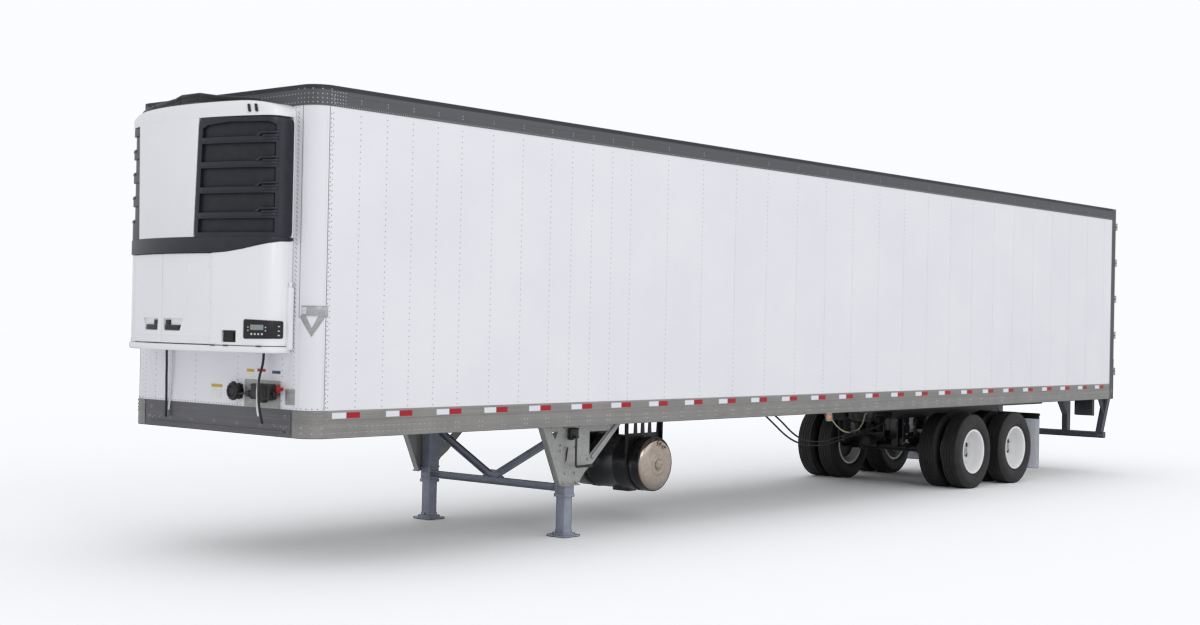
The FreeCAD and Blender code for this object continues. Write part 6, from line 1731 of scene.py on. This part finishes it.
for side, hand in SIDES:
    body = f"{hand}_rear_door"
    iron, seal, heads, scuff = (bmesh.new() for _ in range(4))
    for rise in RISES:
        plate(iron, [(REAR + x, side * y, rise - 0.020) for x, y in HINGE_PLAN], (0, 0, 0.040), 0.003, 0.003)
        stud(iron, (HINGE_X, side * HINGE_Y, rise - 0.020), (0, 0, 0.040), 0.012, 20, 0.0015)
        for inset in (0.050, 0.085, 0.120):
            stud(iron, (REAR - 0.010, side * (DOOR_EDGE - inset), rise), (-0.008, 0, 0), 0.009)
    for rod_y in RODS:
        rod = side * rod_y
        bar(iron, (REAR - 0.028, rod, DOOR_LOW - 0.030), (REAR - 0.028, rod, DOOR_HIGH + 0.030), 0.0135, 24,
            0.002)
        for rise in GUIDES:
            block(iron, (REAR - 0.006, rod - 0.032, rise - 0.018), (REAR, rod + 0.032, rise + 0.018), 0.002)
            spun(iron, GUIDE, (REAR - 0.023, rod, rise), (0, 0, 1), 28)
            for y in (-0.025, 0.025):
                stud(iron, (REAR - 0.006, rod + y, rise), (-0.007, 0, 0), 0.007)
        for start in (DOOR_LOW - 0.030, DOOR_HIGH + 0.008):
            plate(iron, [(REAR + x, rod + y, start) for x, y in CAM], (0, 0, 0.022), 0.002, 0.002)
        plate(iron, [(REAR - 0.0345, side * (rod_y + y), GRIP + z) for y, z in HANDLE], (-0.0090, 0, 0),
              0.002, 0.003)
        for out, inner, start, top, base, edge in (
                (0.006, 0, -0.028, 0.028, 0, 0.002), (0.033, 0.006, -0.026, -0.017, 0.005, 0.002),
                (0.044, 0.004, 0.015, 0.026, 0.005, 0.003)):
            block(iron, (REAR - out, side * (rod_y + 0.182 + inner), GRIP + start),
                  (REAR - base, side * (rod_y + 0.213 - inner), GRIP + top), edge)
    piece(f"{body}_ironwork", iron, galvanised, "galvanised_steel", body=body,
          stands_for=(f"{hand}_door_hardware",))
    near, far = sorted((side * DOOR_MID, side * DOOR_EDGE))
    for left, right, bottom, top in (
            (near, far, DOOR_LOW, DOOR_LOW + 0.022), (near, far, DOOR_HIGH - 0.022, DOOR_HIGH),
            (near, near + 0.022, DOOR_LOW, DOOR_HIGH), (far - 0.022, far, DOOR_LOW, DOOR_HIGH)):
        block(seal, (REAR - 0.0045, left, bottom), (REAR + 0.002, right, top), 0.002)
    piece(f"{body}_seal", seal, door_seal, "rubber", body=body)
    for y in (DOOR_MID + 0.040, DOOR_EDGE - 0.160):
        rivet_rows(heads, (REAR, side * y, DOOR_LOW + 0.04), BACK, [((0, 0, 0.100), 26)])
    piece(f"{body}_rivets", heads, rivet_grey, "rail_aluminium", body=body, turn_out=False)
    for (finish, colour), shift in zip(TAPES, (0.0, RED_SHIFT)):
        film = bmesh.new()
        for start in tape_starts(DOOR_MID + 0.030, shift, 4):
            if start + TAPE_LONG < DOOR_EDGE - 0.005:
                block(film, (REAR - 0.0006, side * start, DOOR_LOW + 0.090),
                      (REAR, side * (start + TAPE_LONG), DOOR_LOW + 0.140))
        piece(f"{body}_{colour}_tape", film, finish, "lamp_plastic", body=body)
    near, far = side * (DOOR_MID + 0.030), side * (DOOR_EDGE - 0.030)
    block(scuff, (REAR + 0.0898, near, DOOR_LOW + 0.020), (REAR + 0.0915, far, DOOR_LOW + 0.320))
    for rise in (0.070, 0.155, 0.240):
        block(scuff, (REAR + 0.0915, near, DOOR_LOW + rise), (REAR + 0.0935, far, DOOR_LOW + rise + 0.020))
    piece(f"{body}_scuff_plate", scuff, floor_metal, "rail_aluminium", body=body)
print("doors dressed")

# %% [markdown]
# The frame round the doors carries the other half of each hinge and the keepers that the cams hook behind.
# Below it are the guard with its tape and two rubber dock buffers.

# %% Rear frame ironwork, guard bolts and tape, dock bumpers
lugs, bolts, buffers = (bmesh.new() for _ in range(3))
for side in (1, -1):
    pin_y = side * HINGE_Y
    for rise in RISES:
        for start in (rise - 0.055, rise + 0.025):
            plate(lugs, [(REAR, side * (HINGE_Y - 0.011), start), (REAR, side * (HINGE_Y + 0.011), start),
                         (HINGE_X, side * (HINGE_Y + 0.011), start), (HINGE_X, side * (HINGE_Y - 0.011),
                                                                      start)],
                  (0, 0, 0.030), 0.002)
            stud(lugs, (HINGE_X, pin_y, start), (0, 0, 0.030), 0.012, 20, 0.0015)
        stud(lugs, (HINGE_X, pin_y, rise + 0.0555), (0, 0, 0.003), 0.009, 16)
    for rod in (side * rod_y for rod_y in RODS):
        for start in (DOOR_LOW - 0.062, DOOR_HIGH + 0.036):
            block(lugs, (REAR - 0.010, rod - 0.035, start), (REAR, rod + 0.035, start + 0.026), 0.002)
            block(lugs, (REAR - 0.040, rod - 0.033, start + 0.003),
                  (REAR - 0.006, rod + 0.033, start + 0.023), 0.004)
    for x, z in ((-0.06, 1.10), (0.10, 1.10), (-0.06, 0.90), (0.15, 1.02)):
        stud(bolts, (GUARD_X + x, side * 0.630, z), (0, side * 0.012, 0), 0.012)
    for y in (1.14, 1.19):
        stud(bolts, (GUARD_X - 0.003, side * y, 0.562), (0.011, 0, 0), 0.010)
    rivet_rows(bolts, (REAR, side * 1.26, 1.30), BACK, [((0, 0, 0.10), 27)], 0.006)
    near, far = sorted((side * (RAIL_Y - 0.395), side * (RAIL_Y - 0.095)))
    block(buffers, (REAR - 0.006, near, RAIL_LOW + 0.012), (REAR, far, RAIL_LOW + 0.162), 0.002)
    for index in range(6):
        rise = RAIL_LOW + 0.018 + index * 0.0235
        block(buffers, (REAR - 0.063, near + 0.010, rise), (REAR - 0.004, far - 0.010, rise + 0.0215), 0.004)
    for y in (near + 0.050, far - 0.050):
        stud(buffers, (REAR - 0.0635, y, RAIL_LOW + 0.087), (-0.0013, 0, 0), 0.012, 6, 0)
rivet_rows(bolts, (REAR, -1.15, ROOF_TOP - 0.02), BACK, [((0, 0.10, 0), 24)], 0.006)
piece("hinge_lugs_and_keepers", lugs, galvanised, "galvanised_steel", stands_for=("rear_frame_hardware",))
piece("rear_bolts", bolts, galvanised, "galvanised_steel")
for (finish, colour), shift in zip(TAPES, (0.0, RED_SHIFT)):
    film = bmesh.new()
    for start in tape_starts(-1.225, shift, 8):
        if start + TAPE_LONG < 1.226:
            block(film, (GUARD_X - 0.0856, start, 0.537), (GUARD_X - 0.085, start + TAPE_LONG, 0.587))
    piece(f"guard_{colour}_tape", film, finish, "lamp_plastic")
piece("dock_buffers", buffers, black_plastic, "rubber", stands_for=("dock_bumpers",))
print("rear finished")

# %% [markdown]
# ## Inside
# The doors open on a white lined box. Its floor is extruded in T sections, so that cold air runs back under
# the load, and a scuff band of aluminium guards the foot of each wall. High on the front wall hangs the
# evaporator's cover with its two fans.

# %% Floor ribs, scuff bands, evaporator, roof bows
INNER_X, INNER_Y = low("front_wall").x, RAIL_Y - 0.060
FLOOR_TOP, CEILING = high("floor").z, high("roof").z
CASE_LOW, CASE_TOP, CASE_X = Z_HOOD - 0.900, Z_HOOD - 0.060, INNER_X - 0.329
ribs, scuffs, case, fans, core, bows = (bmesh.new() for _ in range(6))
block(ribs, (REAR + 0.140, -1.200, FLOOR_TOP - 0.001), (INNER_X - 0.004, -1.176, FLOOR_TOP + 0.0035), 0.001, 1)
repeat(ribs, (0, 0.0405, 0), 59)
piece("floor_ribs", ribs, floor_metal, "floor_aluminium")
for side in (1, -1):
    for inner, outer, bottom, top, edge in ((-0.003, 0.0006, 0.001, 0.300, 0.001),
                                            (-0.006, -0.002, 0.090, 0.110, 0.0015),
                                            (-0.006, -0.002, 0.200, 0.220, 0.0015)):
        block(scuffs, (FRAME_X + 0.004, side * (INNER_Y + inner), FLOOR_TOP + bottom),
              (INNER_X - 0.002, side * (INNER_Y + outer), FLOOR_TOP + top), edge, 1)
piece("scuff_bands", scuffs, floor_metal, "floor_aluminium")
side_view = [(INNER_X, CASE_LOW), (INNER_X - 0.200, CASE_LOW), (CASE_X, CASE_LOW + 0.140),
             (CASE_X, CASE_TOP - 0.060), (INNER_X - 0.290, CASE_TOP), (INNER_X, CASE_TOP)]
plate(case, [(x, -0.849, z) for x, z in side_view], (0, 1.698, 0), 0.006, 0.012)
for hub in (Vector((CASE_X, y, CASE_LOW + 0.420)) for y in (-0.430, 0.430)):
    for radius in (0.060, 0.100, 0.140, 0.180):
        spun(case, [(radius, -0.003), (radius + 0.005, -0.003), (radius + 0.005, 0.0006), (radius, 0.0006),
                    (radius, -0.003)], hub, AHEAD, 40)
    spun(case, [(0.186, -0.0008), (0.192, -0.0015), (0.198, -0.0008), (0.198, 0.0), (0.186, 0.0),
                (0.186, -0.0008)],
         hub, AHEAD, 48)
    spun(fans, [(0.0, -0.0006), (0.184, -0.0006), (0.184, 0.0), (0.0, 0.0)], hub, AHEAD, 48)
piece("evaporator_cover", case, liner, "white_panel", stands_for=("coils",))
piece("evaporator_fans", fans, screen_black, "unit_trim")
block(core, (FRONT + 0.062, 0.273, Z_UPPER + 0.022), (FRONT + 0.148, 0.928, Z_HOOD - 0.022), 0.004)
for index in range(38):
    rise = Z_UPPER + 0.030 + index * 0.0255
    block(core, (FRONT + 0.148, 0.280, rise), (FRONT + 0.1495, 0.922, rise + 0.012))
piece("condenser_core", core, floor_metal, "coil_aluminium")
block(bows, (REAR + 0.160, -1.205, CEILING - 0.001), (REAR + 0.185, 1.205, CEILING + 0.0025), 0.001, 1)
repeat(bows, (24 * INCH, 0, 0), 26)
piece("roof_bows", bows, white_sheet, "white_panel")
print("inside made")

# %% [markdown]
# Behind the service doors sits the unit's diesel engine with its belt, a compressor, a battery and an air
# filter. It is seen only with the doors open, so it gets the main masses and the turned parts that catch
# the light.

# %% Engine, compressor, battery, filter


def in_bay(x, y, z):
    """A place in the engine bay, from the foot of its back plate."""
    return Vector((FRONT + 0.018 + x, y, Z_DOOR + z))


back, engine, turned, dark = (bmesh.new() for _ in range(4))
block(back, (FRONT + 0.0165, -0.718, Z_DOOR + 0.006), (FRONT + 0.0190, 0.378, Z_DOOR + 0.636))
for index in range(5):
    rise = Z_DOOR + 0.060 + index * 0.13
    block(back, (FRONT + 0.0190, -0.700, rise), (FRONT + 0.0215, 0.360, rise + 0.015))
piece("engine_bay_liner", back, guard_grey, "engine_iron")
for one, other, edge in (
        ((0.020, -0.440, 0.090), (0.200, -0.100, 0.420), 0.012), ((0.035, -0.420, 0.420),
                                                                  (0.175, -0.120, 0.500), 0.014),
        ((0.050, -0.400, 0.500), (0.160, -0.140, 0.545), 0.012), ((0.030, -0.430, 0.030),
                                                                  (0.190, -0.110, 0.090), 0.010)):
    block(engine, in_bay(*one), in_bay(*other), edge, 3)
for index in range(7):
    y = -0.420 + index * 0.045
    block(engine, in_bay(0.200, y, 0.110), in_bay(0.206, y + 0.012, 0.400), 0.002)
for y in (-0.36, -0.27, -0.18):
    stud(engine, in_bay(0.105, y, 0.545), (0, 0, 0.040), 0.012, 12, 0.003)
    stud(engine, in_bay(0.175, y, 0.455), (0.040, 0, 0), 0.017, 16, 0.003)
piece("engine_casting", engine, cast_grey, "engine_iron", stands_for=("engine_block",))
for y, z, radius in ((-0.02, 0.16, 0.085), (-0.02, 0.34, 0.055), (0.0, 0.50, 0.045)):
    spun(turned, [(0.0, 0.060), (radius * 0.3, 0.060), (radius * 0.3, 0.050), (radius - 0.010, 0.050),
                  (radius, 0.055), (radius - 0.008, 0.042), (radius, 0.030), (radius - 0.010, 0.025),
                  (0.0, 0.025)], in_bay(0.130, y, z), AHEAD, 40)
bar(turned, in_bay(0.090, -0.100, 0.16), in_bay(0.155, -0.02, 0.16), 0.020, 16, 0.003)
spun(turned, [(0.0, 0.0), (0.078, 0.0), (0.082, 0.010), (0.082, 0.150), (0.076, 0.165), (0.050, 0.170),
              (0.048, 0.185), (0.0, 0.185)], in_bay(0.090, 0.150, 0.115), (0, 1, 0), 40)
spun(turned, [(0.0, 0.0), (0.062, 0.0), (0.068, 0.012), (0.068, 0.120), (0.060, 0.132), (0.0, 0.132)],
     in_bay(0.100, -0.620, 0.470), (0, 1, 0), 40)
piece("pulleys_and_compressor", turned, galvanised, "engine_iron")
block(dark, in_bay(0.020, -0.700, 0.020), in_bay(0.190, -0.470, 0.210), 0.008)
block(dark, in_bay(0.018, -0.704, 0.210), in_bay(0.192, -0.466, 0.228), 0.005)
for y in (-0.65, -0.52):
    stud(dark, in_bay(0.060, y, 0.228), (0, 0, 0.017), 0.011, 16, 0.002)
for start, end in ((0.160, 0.340), (0.340, 0.500)):
    for edge in (-1, 1):
        bar(dark, in_bay(0.170, -0.02 + edge * 0.052, start), in_bay(0.170, -0.01 + edge * 0.046, end), 0.005,
            10)
for route in (((0.150, 0.20, 0.21), (0.150, 0.30, 0.42), (0.060, 0.34, 0.58)),
              ((0.150, -0.46, 0.40), (0.150, -0.60, 0.40))):
    jointed(dark, [in_bay(*place) for place in route], 0.012, edge=0.003, around=12)
piece("battery_belt_and_hoses", dark, black_plastic, "unit_trim")
print("engine bay made")
